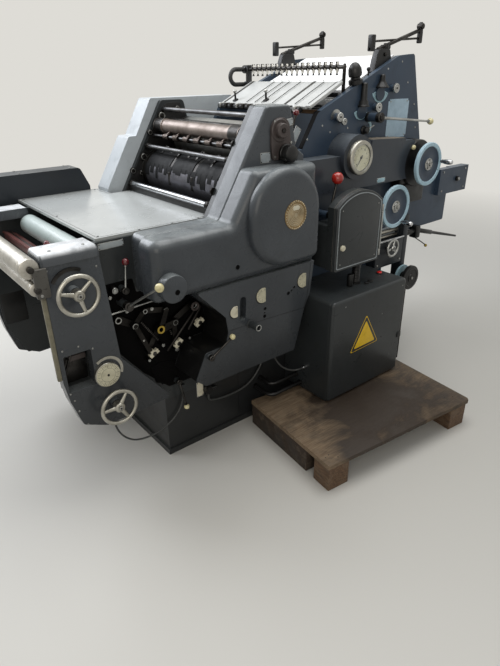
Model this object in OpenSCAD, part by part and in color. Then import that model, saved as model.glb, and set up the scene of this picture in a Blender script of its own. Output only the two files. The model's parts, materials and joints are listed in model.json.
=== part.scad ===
// Single-colour sheet-fed offset press with its electrical cabinet, real size, millimetres.
// X runs along the machine from the delivery end (-) to the feeder end (+), Y across it from the
// operator side (-) to the drive side (+), Z up. The origin is on the floor under the bed.

/* [Side frames] */
// Clear width between the two side frames
frame_gap = 690; // [660:5:720]
// Thickness of each side frame
frame_wall = 25; // [18:1:32]
// Height of the bed under the side frames
bed_h = 290; // [260:5:310]
// Left end of the bed
bed_left = -715; // [-740:5:-690]
// Right end of the bed
bed_right = 905; // [880:5:920]
// Height of the skirt round the foot of the bed
skirt_h = 26; // [16:1:40]
// How far the skirt stands proud of the bed
skirt_out = 8; // [4:1:14]

/* [Delivery end] */
// Left face of the delivery side plates
delivery_left = -1135; // [-1150:5:-1125]
// Right edge of the delivery side plates at the top
delivery_right = -935; // [-945:5:-925]
// How far the delivery side plate stands outside the side frame
delivery_out = 50; // [40:2:60]
// Level of the inking table and of the castings beside it
table_z = 1040; // [1030:2:1050]
// Thickness of the table panel
table_t = 10; // [6:1:14]
// Left edge of the table panel
table_left = -915; // [-920:5:-900]
// Right edge of the table panel
table_right = -400; // [-410:5:-395]
// How far the table panel reaches over the drive side
table_drive_y = 500; // [480:5:520]
// Radius of the upper end rail
rail_r = 34; // [26:1:38]
// Radius of the lower end rail
rail_low_r = 24; // [18:1:28]
// Radius of the ink fountain roller
ink_roller_r = 42; // [34:1:46]

/* [Printing unit] */
// Top of the two towers
tower_z = 1440; // [1420:5:1450]
// Lean of the towers' front edge from upright
tower_lean = 31.5; // [29:0.5:34]
// How far the operator tower stands outside the side frame
tower_out = 80; // [70:2:90]
// Radius of the blanket and plate cylinders
cylinder_r = 108; // [100:1:112]
// Height of the blanket cylinder's axis
blanket_z = 1117; // [1110:1:1125]
// Radius of the steel roller
steel_r = 32; // [26:1:36]
// Radius of the polished cross bar above the table
bar_r = 13; // [10:1:16]
// Radius of the rods across the printing unit
rod_r = 10; // [7:1:12]
// Radius of the thin rods across the printing unit
thin_rod_r = 6; // [4:1:8]
// Number of rings on the ring bar
ring_count = 6; // [4:1:8]

/* [Operator side covers] */
// Front face of the large casting, from the side frame
casting_out = 180; // [170:5:190]
// Left end of the large casting
casting_left = -800; // [-815:5:-785]
// Bottom seam of the large casting
casting_foot_z = 810; // [800:2:820]
// Top of the shoulder of the large casting
shoulder_z = 1225; // [1215:2:1235]
// Right end of the casting and of the cover under it
casting_right = -10; // [-20:2:-6]
// Radius of the rounded front edge of the large casting
casting_edge_r = 42; // [30:1:46]
// Radius of the rounded front edge of the tower behind it
tower_edge_r = 12; // [8:1:16]
// Width of the gear cover
gear_cover_w = 360; // [340:5:370]
// Height of the gear cover
gear_cover_h = 392; // [380:2:400]
// How far the gear cover stands proud of the casting
gear_cover_t = 42; // [38:1:50]
// Radius of the rounded front edge of the gear cover
gear_cover_edge_r = 34; // [20:1:36]
// Radius of the round boss on the casting
boss_r = 52; // [44:1:60]
// Length of the round boss
boss_len = 40; // [30:1:50]
// Bottom of the cover under the casting
lower_cover_foot_z = 400; // [390:2:420]

/* [Control box] */
// Width of the arched control box
box_w = 300; // [280:5:310]
// Height of the arched control box at its crown
box_h = 345; // [335:5:355]
// Height of the control box up to where its arch springs
box_spring_h = 285; // [275:5:295]
// Depth of the control box without its door
box_t = 46; // [36:2:50]
// Thickness of the control box door
door_t = 10; // [8:1:12]
// Left side of the control box
box_left = 58; // [50:2:64]
// Bottom of the control box
box_z = 748; // [740:2:756]

/* [Feeder] */
// Slope of the feed board
board_slope = 25.3; // [23:0.1:27]
// Clear space between the feed board and each feeder side plate
sheet_margin = 35; // [30:1:50]
// Thickness of the feed board
board_t = 14; // [10:1:18]
// Number of suckers on the sucker bar
sucker_count = 17; // [13:1:18]
// Radius of the sucker bar
sucker_bar_r = 9; // [7:1:11]
// Height of the gauge beam
beam_h = 185; // [175:5:190]
// How far the gauge beam stands outside the feeder side plate
beam_out = 80; // [70:2:90]
// Radius of the gauge case
gauge_r = 75; // [65:1:80]
// Radius of the large feeder handwheels
feeder_wheel_r = 105; // [95:1:110]
// Radius of the delivery handwheels
delivery_wheel_r = 76; // [68:1:80]
// Radius of the small bright handwheel
small_wheel_r = 50; // [42:1:54]
// Radius of the black adjusting knob
knob_disc_r = 68; // [58:1:72]
// Right end of the feeder's side brackets
feeder_right = 1400; // [1380:5:1420]
// Level of the undercut below the feeder
undercut_z = 600; // [585:5:615]

/* [Cabinet and pallet] */
// Width of the electrical cabinet
cabinet_w = 520; // [500:5:540]
// Depth of the electrical cabinet
cabinet_d = 285; // [270:5:290]
// Height of the electrical cabinet
cabinet_h = 515; // [500:5:525]
// Front face of the electrical cabinet door, from the middle of the machine
cabinet_front = 680; // [672:2:690]
// Wall thickness of the electrical cabinet
cabinet_wall = 18; // [12:1:22]
// Height of the pallet
pallet_h = 130; // [120:2:140]
// Thickness of the pallet's deck
deck_t = 20; // [16:1:28]
// Length of the pallet
pallet_len = 880; // [860:10:900]
// Width of the pallet
pallet_w = 580; // [560:5:590]

/* [Drive side and leads] */
// How far the inking unit's cover stands outside the drive side cover
ink_unit_out = 130; // [110:5:150]
// Diameter of the lead from the socket on the bed
socket_lead_d = 10; // [8:1:12]
// Diameter of the lead under the delivery end
foot_lead_d = 8; // [8:1:10]
// Diameter of the lead to the cabinet
cabinet_lead_d = 9; // [8:1:10]

/* [Fits] */
// Radius of the studs that carry handwheels and levers
stud_r = 9; // [7:0.5:10]
// Running clearance round a stud or a roller's journal
run_gap = 0.06; // [0.03:0.01:0.09]
// Small gap between parts that move past their seat
seat_gap = 0.3; // [0.2:0.1:0.5]
// Wide gap between parts that swing or turn past each other
swing_gap = 6; // [5:0.5:7]

/* [Hidden] */
$fn = 48;

enamel = [0.27, 0.29, 0.30];
pale_enamel = [0.72, 0.75, 0.77];
blue_enamel = [0.24, 0.29, 0.34];
bright_steel = [0.75, 0.76, 0.78];
black_steel = [0.12, 0.12, 0.13];
pale_blue = [0.62, 0.76, 0.82];

inner_y = frame_gap / 2;
outer_y = inner_y + frame_wall;
sheet_w = frame_gap - 2 * sheet_margin;
tower_y = outer_y + tower_out;
casting_y = outer_y + casting_out;
gear_cover_y = casting_y + gear_cover_t;
delivery_y = outer_y + delivery_out;
delivery_inner_y = inner_y - 35;
beam_y = outer_y + beam_out;

// Outline helpers: a corner is [x, z, radius], and an outline runs counter-clockwise.
function unit(v) = v / norm(v);
function flat(p) = [p[0], p[1]];
function edge_normal(a, b) = unit([a[1] - b[1], b[0] - a[0]]);
function turn(a, b, c) = (b[0] - a[0]) * (c[1] - b[1]) - (b[1] - a[1]) * (c[0] - b[0]);
function inset(pts, d) = [for (i = [0 : len(pts) - 1])
    let (n = len(pts), a = pts[(i + n - 1) % n], b = pts[i], c = pts[(i + 1) % n],
        n1 = edge_normal(a, b), n2 = edge_normal(b, c),
        q = flat(b) + (n1 + n2) * d / (1 + n1 * n2),
        r = turn(a, b, c) > 0 ? b[2] - d : b[2] + d)
    [q[0], q[1], max(r, 0.2)]];
function corner(a, b, c, n) =
    let (u = unit(flat(a) - flat(b)), v = unit(flat(c) - flat(b)),
        half = acos(u * v) / 2, mid = flat(b) + unit(u + v) * b[2] / sin(half),
        from = flat(b) + u * b[2] / tan(half) - mid,
        start = atan2(from[1], from[0]), sweep = (180 - 2 * half) * sign(turn(a, b, c)))
    [for (i = [0 : n]) mid + b[2] * [cos(start + sweep * i / n), sin(start + sweep * i / n)]];
function rounded(pts, n = 6) = [for (i = [0 : len(pts) - 1])
    for (p = corner(pts[(i + len(pts) - 1) % len(pts)], pts[i], pts[(i + 1) % len(pts)], n)) p];

// A plate cut to an outline in the XZ plane, between two Y values
module plate(pts, y0, y1, n = 6)
    translate([0, y1, 0]) rotate([90, 0, 0]) linear_extrude(y1 - y0) polygon(rounded(pts, n));

// Triangles that fill a flat outline, cut off it one ear at a time
function holds(a, b, c, p) = turn(a, b, p) >= 0 && turn(b, c, p) >= 0 && turn(c, a, p) >= 0;
function ear(ids, k) = let (n = len(ids)) [ids[(k + n - 1) % n], ids[k], ids[(k + 1) % n]];
function is_ear(pts, ids, t) = turn(pts[t[0]], pts[t[1]], pts[t[2]]) > 0
    && len([for (i = ids) if (i != t[0] && i != t[1] && i != t[2]
        && holds(pts[t[0]], pts[t[1]], pts[t[2]], pts[i])) i]) == 0;
function first_ear(pts, ids, k = 0) =
    k == len(ids) - 1 || is_ear(pts, ids, ear(ids, k)) ? k : first_ear(pts, ids, k + 1);
function filling(pts, ids, done = []) = len(ids) < 4 ? concat(done, [ids]) :
    let (k = first_ear(pts, ids))
    filling(pts, [for (i = [0 : len(ids) - 1]) if (i != k) ids[i]], concat(done, [ear(ids, k)]));

// A casting with the same outline whose front edge, at y0, is rounded with radius r
module casting(pts, y0, y1, r, n = 6, steps = 5) {
    rings = concat([[y1, 0]], [for (k = [0 : steps])
        [y0 + r * (1 - sin(90 * k / steps)), r * (1 - cos(90 * k / steps))]]);
    outlines = [for (g = rings) rounded(inset(pts, g[1]), n)];
    m = len(outlines[0]);
    last = len(rings) - 1;
    ids = [for (i = [0 : m - 1]) i];
    polyhedron(
        points = [for (k = [0 : last]) for (p = outlines[k]) [p[0], rings[k][0], p[1]]],
        faces = concat(filling(outlines[0], ids),
            [for (k = [0 : last - 1]) for (i = ids)
                [k * m + i, (k + 1) * m + i, (k + 1) * m + (i + 1) % m, k * m + (i + 1) % m]],
            [for (t = filling(outlines[last], ids)) [for (i = [2 : -1 : 0]) last * m + t[i]]]));
}

// A cylinder across the machine from y0 to y1
module cross(x, z, r, y0, y1)
    translate([x, y1, z]) rotate([90, 0, 0]) cylinder(r = r, h = y1 - y0);

// A block between two corners
module block(a, b) translate(a) cube(b - a);

// A round bar between two points
module bar(a, b, r) {
    d = b - a;
    translate(a) rotate([0, acos(d[2] / norm(d)), atan2(d[1], d[0])]) cylinder(r = r, h = norm(d));
}

// A round lead carried along a list of points, its two ends square to its first and last stretch
function cross_of(a, b) = [a[1] * b[2] - a[2] * b[1], a[2] * b[0] - a[0] * b[2], a[0] * b[1] - a[1] * b[0]];
function way(p, i) = i == 0 ? unit(p[1] - p[0]) : i == len(p) - 1 ? unit(p[i] - p[i - 1])
    : unit(p[i + 1] - p[i - 1]);
module lead(path, r, sides = 10) {
    n = len(path);
    rings = [for (i = [0 : n - 1]) let (d = way(path, i), u = unit(cross_of(d, [0, 1, 0])), v = cross_of(d, u))
        for (k = [0 : sides - 1]) path[i] + r * (u * cos(360 * k / sides) + v * sin(360 * k / sides))];
    polyhedron(points = rings, faces = concat([[for (k = [0 : sides - 1]) k]],
        [for (i = [0 : n - 2]) for (k = [0 : sides - 1])
            [i * sides + k, (i + 1) * sides + k, (i + 1) * sides + (k + 1) % sides]],
        [for (i = [0 : n - 2]) for (k = [0 : sides - 1])
            [i * sides + k, (i + 1) * sides + (k + 1) % sides, i * sides + (k + 1) % sides]],
        [[for (k = [sides - 1 : -1 : 0]) (n - 1) * sides + k]]));
}

// Points on a smooth curve through the route: cubic pieces with shared slopes
function slope(p, i) = i == 0 ? p[1] - p[0] : i == len(p) - 1 ? p[i] - p[i - 1] : (p[i + 1] - p[i - 1]) / 2;
function eased(p, parts) = concat([for (i = [0 : len(p) - 2]) for (k = [0 : parts - 1])
    let (t = k / parts, a = slope(p, i), b = slope(p, i + 1))
    p[i] * (2 * t * t * t - 3 * t * t + 1) + a * (t * t * t - 2 * t * t + t)
        + p[i + 1] * (3 * t * t - 2 * t * t * t) + b * (t * t * t - t * t)], [p[len(p) - 1]]);

// A lever: a flat hub bored for its stud, a round arm and a ball at its end
module ball_lever(hub, hub_r, hub_len, tip, arm_r, ball_r) difference() {
    union() {
        cross(hub[0], hub[2], hub_r, hub[1] - hub_len / 2, hub[1] + hub_len / 2);
        bar(hub, tip, arm_r);
        translate(tip) sphere(r = ball_r);
    }
    cross(hub[0], hub[2], stud_r + run_gap, hub[1] - hub_len / 4, hub[1] + hub_len);
}

// The boss and stud that a lever's or wheel's hub turns on; hub_back is the hub's rear face
module stud(x, z, from_y, hub_back, reach, boss_r) {
    cross(x, z, boss_r, hub_back + seat_gap, from_y);
    cross(x, z, stud_r, hub_back - reach, hub_back + seat_gap + 1);
}

// Three-spoked handwheel with a round rim
module spoked_wheel(x, z, y, rim_r, rim_bar_r, hub_r, hub_len, first_spoke) {
    translate([x, y, z]) rotate([90, 0, 0]) difference() {
        union() {
            rotate_extrude() translate([rim_r - rim_bar_r, 0]) circle(r = rim_bar_r);
            translate([0, 0, -hub_len * 0.7]) cylinder(r = hub_r, h = hub_len);
            for (a = [0, 120, 240]) rotate([0, 0, first_spoke + a])
                translate([0, -hub_r * 0.45, -hub_r * 0.3])
                    cube([rim_r - rim_bar_r, hub_r * 0.9, hub_r * 0.6]);
        }
        translate([0, 0, -hub_len]) cylinder(r = stud_r + run_gap, h = hub_len * 0.9);
    }
}

// Dished handwheel with a flat rim, a hub and a crank handle that points to the operator
crank_hub_len = 38;
module cranked_wheel(x, z, y, rim_r, handle_turn) {
    rim_w = 19;
    rim_d = 18;
    web_t = 8;
    hub_r = 24;
    hub_len = crank_hub_len;
    handle_r = 9;
    handle_len = 78;
    translate([x, y, z]) rotate([90, 0, 0]) difference() {
        union() {
            rotate_extrude() translate([rim_r - rim_w, -rim_d / 2]) square([rim_w, rim_d]);
            translate([0, 0, -web_t / 2]) cylinder(r = rim_r - rim_w + 1, h = web_t);
            translate([0, 0, -hub_len * 0.6]) cylinder(r = hub_r, h = hub_len);
            rotate([0, 0, handle_turn]) translate([rim_r - rim_w / 2, 0, 0]) {
                cylinder(r = handle_r * 0.6, h = handle_len * 0.4);
                translate([0, 0, handle_len * 0.3]) cylinder(r = handle_r, h = handle_len * 0.7);
            }
        }
        translate([0, 0, -hub_len]) cylinder(r = stud_r + run_gap, h = hub_len);
    }
}

// Printing roller with journals that turn in sockets of the side frames
journal_r = 18;
socket_depth = 12;
roller_clear = 8;
module roller(x, z, r, end_clear = roller_clear) {
    cross(x, z, r, -inner_y + end_clear, inner_y - end_clear);
    cross(x, z, journal_r, -inner_y - socket_depth + 1, inner_y + socket_depth - 1);
}
module sockets(x, z) cross(x, z, journal_r + run_gap, -inner_y - socket_depth, inner_y + socket_depth);

// Bed

socket_x = -500;
socket_z = 262;
socket_r = 18;
socket_len = 24;
gland_r = 7;
socket_lead_y = -outer_y - 13;
module bed() color(enamel) {
    block([bed_left, -outer_y, skirt_h], [bed_right, outer_y, bed_h]);
    block([bed_left - skirt_out, -outer_y - skirt_out, 0],
        [bed_right + skirt_out, outer_y + skirt_out, skirt_h]);
    cross(socket_x, socket_z, socket_r, -outer_y - socket_len, -outer_y);
    translate([socket_x, socket_lead_y, socket_z - socket_r - 8]) cylinder(r = gland_r, h = 20);
}

// Side frames

tower_left = -205;
tower_right = -80;
frame_left = delivery_left + 10;
feeder_x = 0;
beam_z = 1060;
beam_top = beam_z + beam_h;
tower_brow_z = 1278;
cap_t = 40;
function slant_x(z) = tower_left - (tower_z - z) * tan(tower_lean);
frame_pts = [[bed_left, bed_h, 1], [feeder_x, bed_h, 1], [feeder_x, 1330, 12], [-58, 1345, 12],
    [tower_right, tower_z, 20], [tower_left, tower_z, 16],
    [slant_x(table_z - table_t), table_z - table_t, 1],
    [delivery_right, table_z - table_t, 1], [delivery_right, table_z - cap_t, 1],
    [frame_left, table_z - cap_t, 10], [frame_left, 520, 10], [frame_left + 70, 350, 10],
    [bed_left, 345, 1]];
window_pts = [[-1120, 516, 6], [-1017, 516, 6], [-1017, 665, 6], [-1120, 665, 6]];
frame_hole_pts = [[-722, 368, 8], [-662, 394, 8], [-640, 465, 8], [-755, 470, 8]];
blanket_x = -240;
steel_x = -229;
steel_z = 1328;
plate_turn = 38;
plate_x = blanket_x + (2 * cylinder_r + swing_gap) * cos(plate_turn);
plate_z = blanket_z + (2 * cylinder_r + swing_gap) * sin(plate_turn);
ink_roller_x = -940;
ink_roller_z = 970;

module side_frame() difference() {
    plate(frame_pts, -outer_y, -inner_y);
    plate(window_pts, -outer_y - 1, -inner_y + 1);
    plate(frame_hole_pts, -outer_y - 1, -inner_y + 1);
    sockets(blanket_x, blanket_z);
    sockets(steel_x, steel_z);
    sockets(plate_x, plate_z);
    sockets(ink_roller_x, ink_roller_z);
}
red_pivot = [-850, -410, 845];
delivery_pivot = [-860, -440, 795];
tower_pivot = [-28, -392, 1310];
foot_pivot = [-655, -400, 372];
module side_frame_operator() color(enamel) {
    side_frame();
    stud(red_pivot[0], red_pivot[2], -outer_y, red_pivot[1] + 7, 9, 13);
    stud(delivery_pivot[0], delivery_pivot[2], -outer_y, delivery_pivot[1] + 12, 15, 16);
    stud(tower_pivot[0], tower_pivot[2], -outer_y, tower_pivot[1] + 7, 9, 13);
    stud(foot_pivot[0], foot_pivot[2], -outer_y, foot_pivot[1] + 7, 9, 13);
    block([foot_gland_x - 8, -outer_y - 20, foot_gland_z], [foot_gland_x + 8, -outer_y, foot_gland_z + 20]);
}
foot_gland_x = -630;
foot_gland_z = 322;
foot_lead_y = -outer_y - 11;
module side_frame_drive() color(enamel) mirror([0, 1, 0]) side_frame();

member_t = 20;
member_low_x = bed_left + 15;
member_high_x = feeder_x + 60;
member_end_x = table_left + 10;
member_end_drop = 200;
member_low_top = table_z - 140;
member_high_top = beam_z + 120;
beam_member = 50;
beam_member_z = 900;
beam_member_xs = [890, 1180];
module cross_members() color(enamel) {
    block([member_low_x, -inner_y, bed_h], [member_low_x + member_t, inner_y, member_low_top]);
    block([member_high_x, -inner_y, bed_h], [member_high_x + member_t, inner_y, member_high_top]);
    block([member_end_x, -inner_y, member_low_top - member_end_drop],
        [member_end_x + member_t, inner_y, member_low_top]);
    for (x = beam_member_xs) block([x, -inner_y, beam_member_z],
        [x + beam_member, inner_y, beam_member_z + beam_member]);
}

// Operator tower

tower_pts = [[casting_left + 14, casting_foot_z, 20], [casting_right, casting_foot_z, 6],
    [casting_right, table_z, 1], [feeder_x - seat_gap, table_z + 10, 1],
    [feeder_x - seat_gap, beam_top, 6], [-47, tower_brow_z, 12], [tower_right, tower_z, 20],
    [tower_left, tower_z, 26], [slant_x(table_z), table_z, 30], [casting_left + 14, table_z, 30]];
module tower_casting() color(enamel) casting(tower_pts, -tower_y, -outer_y, tower_edge_r);

hub_x = -147;
hub_z = 1349;
motor_x = -120;
motor_z = 1262;
hub_flange_r = 44;
hub_flange_t = 14;
hub_boss_r = 28;
hub_boss_t = 18;
motor_r = 34;
motor_len = 52;
unit_plate_t = 10;
unit_plate_pts = [[hub_x - 33, hub_z - 109, 12], [hub_x + 69, hub_z - 109, 12],
    [hub_x + 52, hub_z - 9, 12], [hub_x - 33, hub_z - 9, 12]];
module tower_drive_unit() color([0.30, 0.26, 0.25]) {
    cross(hub_x, hub_z, hub_flange_r, -tower_y - hub_flange_t, -tower_y);
    cross(hub_x, hub_z, hub_boss_r, -tower_y - hub_flange_t - hub_boss_t, -tower_y - hub_flange_t);
    plate(unit_plate_pts, -tower_y - unit_plate_t, -tower_y);
    cross(motor_x, motor_z, motor_r, -tower_y - unit_plate_t - motor_len, -tower_y - unit_plate_t);
}
module tower_lever() color(black_steel)
    ball_lever(tower_pivot, 13, 14, [0, tower_pivot[1], 1403], 5, 13);

// Operator casting and covers

shoulder_pts = [[casting_left, casting_foot_z, 24], [casting_right, casting_foot_z, 8],
    [casting_right, shoulder_z, 20], [slant_x(shoulder_z), shoulder_z, 34],
    [slant_x(table_z), table_z, 34], [casting_left, table_z, 40]];
boss_x = -745;
boss_z = 875;
module operator_casting() color(enamel)
    casting(shoulder_pts, -casting_y, -tower_y, casting_edge_r);
module casting_boss() color(enamel) difference() {
    cross(boss_x, boss_z, boss_r, -casting_y - boss_len, -casting_y);
    cross(boss_x + 8, boss_z - 12, 12, -casting_y - boss_len - 1, -casting_y - 10);
}

lower_cover_y = casting_y - 10;
lower_cover_pts = [[-610, lower_cover_foot_z, 20], [-117, lower_cover_foot_z, 10],
    [-62, 596, 20], [-30, 660, 20], [casting_right, casting_foot_z, 1],
    [-625, casting_foot_z, 4], [-497, 676, 10], [-487, 606, 10], [-502, 552, 8], [-602, 548, 10],
    [-655, 440, 10]];
cover_slot_pts = [[-430, 640, 9], [-398, 640, 9], [-392, 742, 15], [-424, 742, 15]];
cover_slot_depth = 30;
cover_pivot = [-585, -lower_cover_y - 16, 530];
crank_x = -375;
crank_z = 613;
crank_r = 15;
crank_bore_r = 10;
crank_len = 58;
cabinet_gland_x = -165;
cabinet_gland_y = -450;
module lower_cover() color(enamel) {
    difference() {
        plate(lower_cover_pts, -lower_cover_y, -outer_y);
        plate(cover_slot_pts, -lower_cover_y - 1, -lower_cover_y + cover_slot_depth);
    }
    difference() {
        cross(crank_x, crank_z, crank_r, -lower_cover_y - crank_len, -lower_cover_y);
        cross(crank_x, crank_z, crank_bore_r, -lower_cover_y - crank_len - 1,
            -lower_cover_y - crank_len / 3);
    }
    stud(cover_pivot[0], cover_pivot[2], -lower_cover_y, cover_pivot[1] + 7, 9, 13);
    for (p = [[cabinet_gland_x, cabinet_gland_y], [socket_top_x, socket_lead_y]])
        translate([p[0], p[1], lower_cover_foot_z - 10]) cylinder(r = gland_r, h = 12);
}
socket_top_x = -148;
module cover_lever() color(black_steel)
    ball_lever(cover_pivot, 13, 14, [-490, cover_pivot[1] - 14, 600], 5, 12);

gear_cover_left = -387;
gear_cover_z = 840;
module gear_cover() color(enamel) {
    r = gear_cover_w / 2 - 2;
    right = gear_cover_left + gear_cover_w;
    casting([[gear_cover_left, gear_cover_z, r], [right, gear_cover_z, 24],
        [right, gear_cover_z + gear_cover_h, r], [gear_cover_left, gear_cover_z + gear_cover_h, r]],
        -gear_cover_y, -casting_y, gear_cover_edge_r, 10);
}

// Gauge beam and gauge

beam_right = 760;
wheel_up_x = 822;
wheel_up_z = 1125;
wheel_low_x = 589;
wheel_low_z = 946;
wheel_y = -500;
gauge_x = 316;
gauge_z = 1204;
gauge_seat = 22;
beam_low_top = beam_top - 30;
strip_left = gauge_x + 110;
strip_right = gauge_x + 370;
module gauge_beam() color(enamel) {
    difference() {
        plate([[feeder_x, beam_z, 4], [beam_right, beam_z, 10], [beam_right, beam_top, 14],
            [gauge_x + 50, beam_top, 10], [gauge_x - 30, beam_low_top, 10],
            [feeder_x, beam_low_top, 4]], -beam_y, -outer_y);
        cross(wheel_up_x, wheel_up_z, feeder_wheel_r + 14, -beam_y - 1, -outer_y + 1);
    }
    cross(gauge_x, gauge_z, gauge_r + gauge_seat, -beam_y - 22, -outer_y);
    plate([[strip_left, beam_top - 20, 4], [strip_right, beam_top - 20, 4],
        [strip_right, beam_top + 12, 6], [strip_left + 8, beam_top + 24, 6]], -beam_y, -outer_y);
}
module pressure_gauge() color(bright_steel)
    translate([gauge_x, -beam_y - 22, gauge_z]) rotate([90, 0, 0]) difference() {
        cylinder(r = gauge_r, h = 24);
        translate([0, 0, 10]) cylinder(r = gauge_r - 9, h = 20);
    }

// Control box

box_back_y = casting_y - 5;
box_front_y = box_back_y + box_t;
box_right = box_left + box_w;
function arch_pts(x0, x1, z0, spring, crown) =
    let (half = (x1 - x0) / 2, rise = crown - spring, r = (half * half + rise * rise) / (2 * rise),
        a = asin(half / r))
    concat([[x0, z0], [x1, z0]],
        [for (i = [0 : 16]) let (t = a - 2 * a * i / 16)
            [(x0 + x1) / 2 + r * sin(t), crown - r + r * cos(t)]]);
module arch_plate(x0, x1, z0, spring, crown, y0, y1)
    translate([0, y1, 0]) rotate([90, 0, 0]) linear_extrude(y1 - y0)
        polygon(arch_pts(x0, x1, z0, spring, crown));
box_wall = 8;
hinge_r = 6;
module control_box() color(enamel) {
    difference() {
        arch_plate(box_left, box_right, box_z, box_z + box_spring_h, box_z + box_h,
            -box_front_y, -box_back_y);
        arch_plate(box_left + box_wall, box_right - box_wall, box_z + box_wall,
            box_z + box_spring_h - box_wall, box_z + box_h - box_wall,
            -box_front_y - 1, -box_back_y - box_wall);
    }
    block([box_left + 40, -box_back_y, box_z + 30], [box_right - 60, -outer_y, box_z + 170]);
    for (s = [0, 1]) translate([box_right + hinge_r, -box_front_y - door_t / 2,
        box_hinge_z + box_hinge_gap * s]) knuckle(door_t, 20);
}
knuckle_len = 30;
knuckle_root = 3;
box_hinge_z = box_z + box_h * 0.06;
box_hinge_gap = box_h * 0.61;
module knuckle(door, leaf) {
    cylinder(r = hinge_r, h = knuckle_len);
    translate([-hinge_r, 0, 0]) cube([hinge_r, door / 2 + leaf, knuckle_len]);
    translate([-hinge_r - knuckle_root, door / 2 + 1, 0])
        cube([hinge_r + knuckle_root, leaf - 1, knuckle_len]);
}
module control_box_door() color(enamel) {
    arch_plate(box_left, box_right - 1, box_z, box_z + box_spring_h, box_z + box_h,
        -box_front_y - door_t, -box_front_y - seat_gap);
    barrel = box_hinge_gap - knuckle_len - 2 * seat_gap;
    translate([box_right + hinge_r, -box_front_y - door_t / 2, box_hinge_z + knuckle_len + seat_gap]) {
        cylinder(r = hinge_r, h = barrel);
        translate([-hinge_r - 2, -door_t / 2, 0]) cube([hinge_r + 2, door_t - seat_gap, barrel]);
    }
    cross(box_left + 40, box_z + 108, 12, -box_front_y - door_t - 14, -box_front_y - door_t);
}

main_pivot = [104, -512, 985];
module main_lever() color(black_steel)
    ball_lever(main_pivot, 16, 16, [142, main_pivot[1], 1139], 6, 23);

// Delivery end

delivery_pts = [[delivery_left, 560, 10], [delivery_left + 12, 480, 20],
    [delivery_left + 45, 365, 20], [-998, 320, 20],
    [-720, 332, 10], [-723, 356, 6], [-908, 590, 20], [delivery_right, table_z - cap_t, 1],
    [delivery_left, table_z - cap_t, 1]];
cap_pts = [[delivery_left, table_z - cap_t, 1], [delivery_right, table_z - cap_t, 1],
    [delivery_right, table_z, 14], [delivery_left, table_z, 20]];
cap_section = [[-delivery_y - 4, table_z - cap_t, 1], [-delivery_inner_y, table_z - cap_t, 1],
    [-delivery_inner_y, table_z, 2], [-delivery_y - 4, table_z, 24]];
wheel_d_up_x = -1045;
wheel_d_up_z = 897;
wheel_d_low_x = -963;
wheel_d_low_z = 418;
wheel_d_y = -475;
dial_x = -972;
dial_z = 545;
module delivery_plate() {
    difference() {
        plate(delivery_pts, -delivery_y, -outer_y);
        plate(window_pts, -delivery_y - 1, -outer_y + 1);
    }
    intersection() {
        plate(cap_pts, -delivery_y - 4, -delivery_inner_y);
        translate([delivery_left - 1, 0, 0]) rotate([90, 0, 90])
            linear_extrude(delivery_right - delivery_left + 2) polygon(rounded(cap_section));
    }
}
wheel_hub_len = 34;
stud_in_wheel = 18;
module delivery_plate_operator() color(enamel) {
    delivery_plate();
    for (p = [[wheel_d_up_x, wheel_d_up_z], [wheel_d_low_x, wheel_d_low_z]])
        stud(p[0], p[1], -delivery_y, wheel_d_y + wheel_hub_len * 0.7, stud_in_wheel, 22);
    cross(dial_x, dial_z, 48, -delivery_y - 14, -delivery_y);
    translate([delivery_gland_x, delivery_gland_y, delivery_gland_z]) cylinder(r = gland_r, h = 24);
}
delivery_gland_x = -960;
delivery_gland_y = -outer_y - 25;
delivery_gland_z = 312;
module delivery_plate_drive() color(enamel) mirror([0, 1, 0]) delivery_plate();

rail_low_drop = 110;
bracket_t = 14;
bracket_h = 100;
bracket_left = delivery_left - 30;
bracket_right = delivery_left + 15;
strip_w = 16;
strip_foot_z = 576;
module end_bracket() block([bracket_left, -delivery_y - bracket_t, table_z - cap_t - bracket_h],
    [bracket_right, -delivery_y, table_z - cap_t]);
module end_rails() color(bright_steel) {
    cross(delivery_left - rail_r, table_z - rail_r - 4, rail_r, -delivery_y, delivery_y);
    cross(delivery_left - rail_low_r, table_z - rail_low_drop, rail_low_r, -delivery_y, delivery_y);
    end_bracket();
    mirror([0, 1, 0]) end_bracket();
    block([delivery_left - strip_w, -delivery_y, strip_foot_z],
        [delivery_left, -delivery_y + bracket_t, table_z - rail_low_drop - rail_low_r]);
}

table_step_x = -525;
module table_panel() color([0.77, 0.77, 0.72])
    translate([0, 0, table_z - table_t]) linear_extrude(table_t) polygon([
        [table_left, -inner_y - 12], [slant_x(table_z - table_t) - 1, -inner_y - 12],
        [slant_x(table_z - table_t) - 1, -inner_y], [table_right, -inner_y], [table_right, inner_y],
        [table_step_x, inner_y], [table_step_x, table_drive_y], [table_left, table_drive_y]]);

tray_x = ink_roller_x - 52;
tray_z = ink_roller_z - 40;
tray_w = 50;
tray_t = 15;
tray_slope = 20;
lip_w = 60;
lip_t = 8;
module ink_tray() color([0.55, 0.30, 0.26]) {
    block([tray_x - tray_w, -inner_y, tray_z - tray_t], [tray_x, inner_y, tray_z]);
    translate([tray_x, 0, tray_z]) rotate([0, tray_slope, 0]) translate([-lip_w, -inner_y, -lip_t])
        cube([lip_w, frame_gap, lip_t]);
}
module ink_roller() color(pale_blue)
    roller(ink_roller_x, ink_roller_z, ink_roller_r, inner_y - delivery_inner_y + swing_gap);

// Rods and rollers of the printing unit

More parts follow.
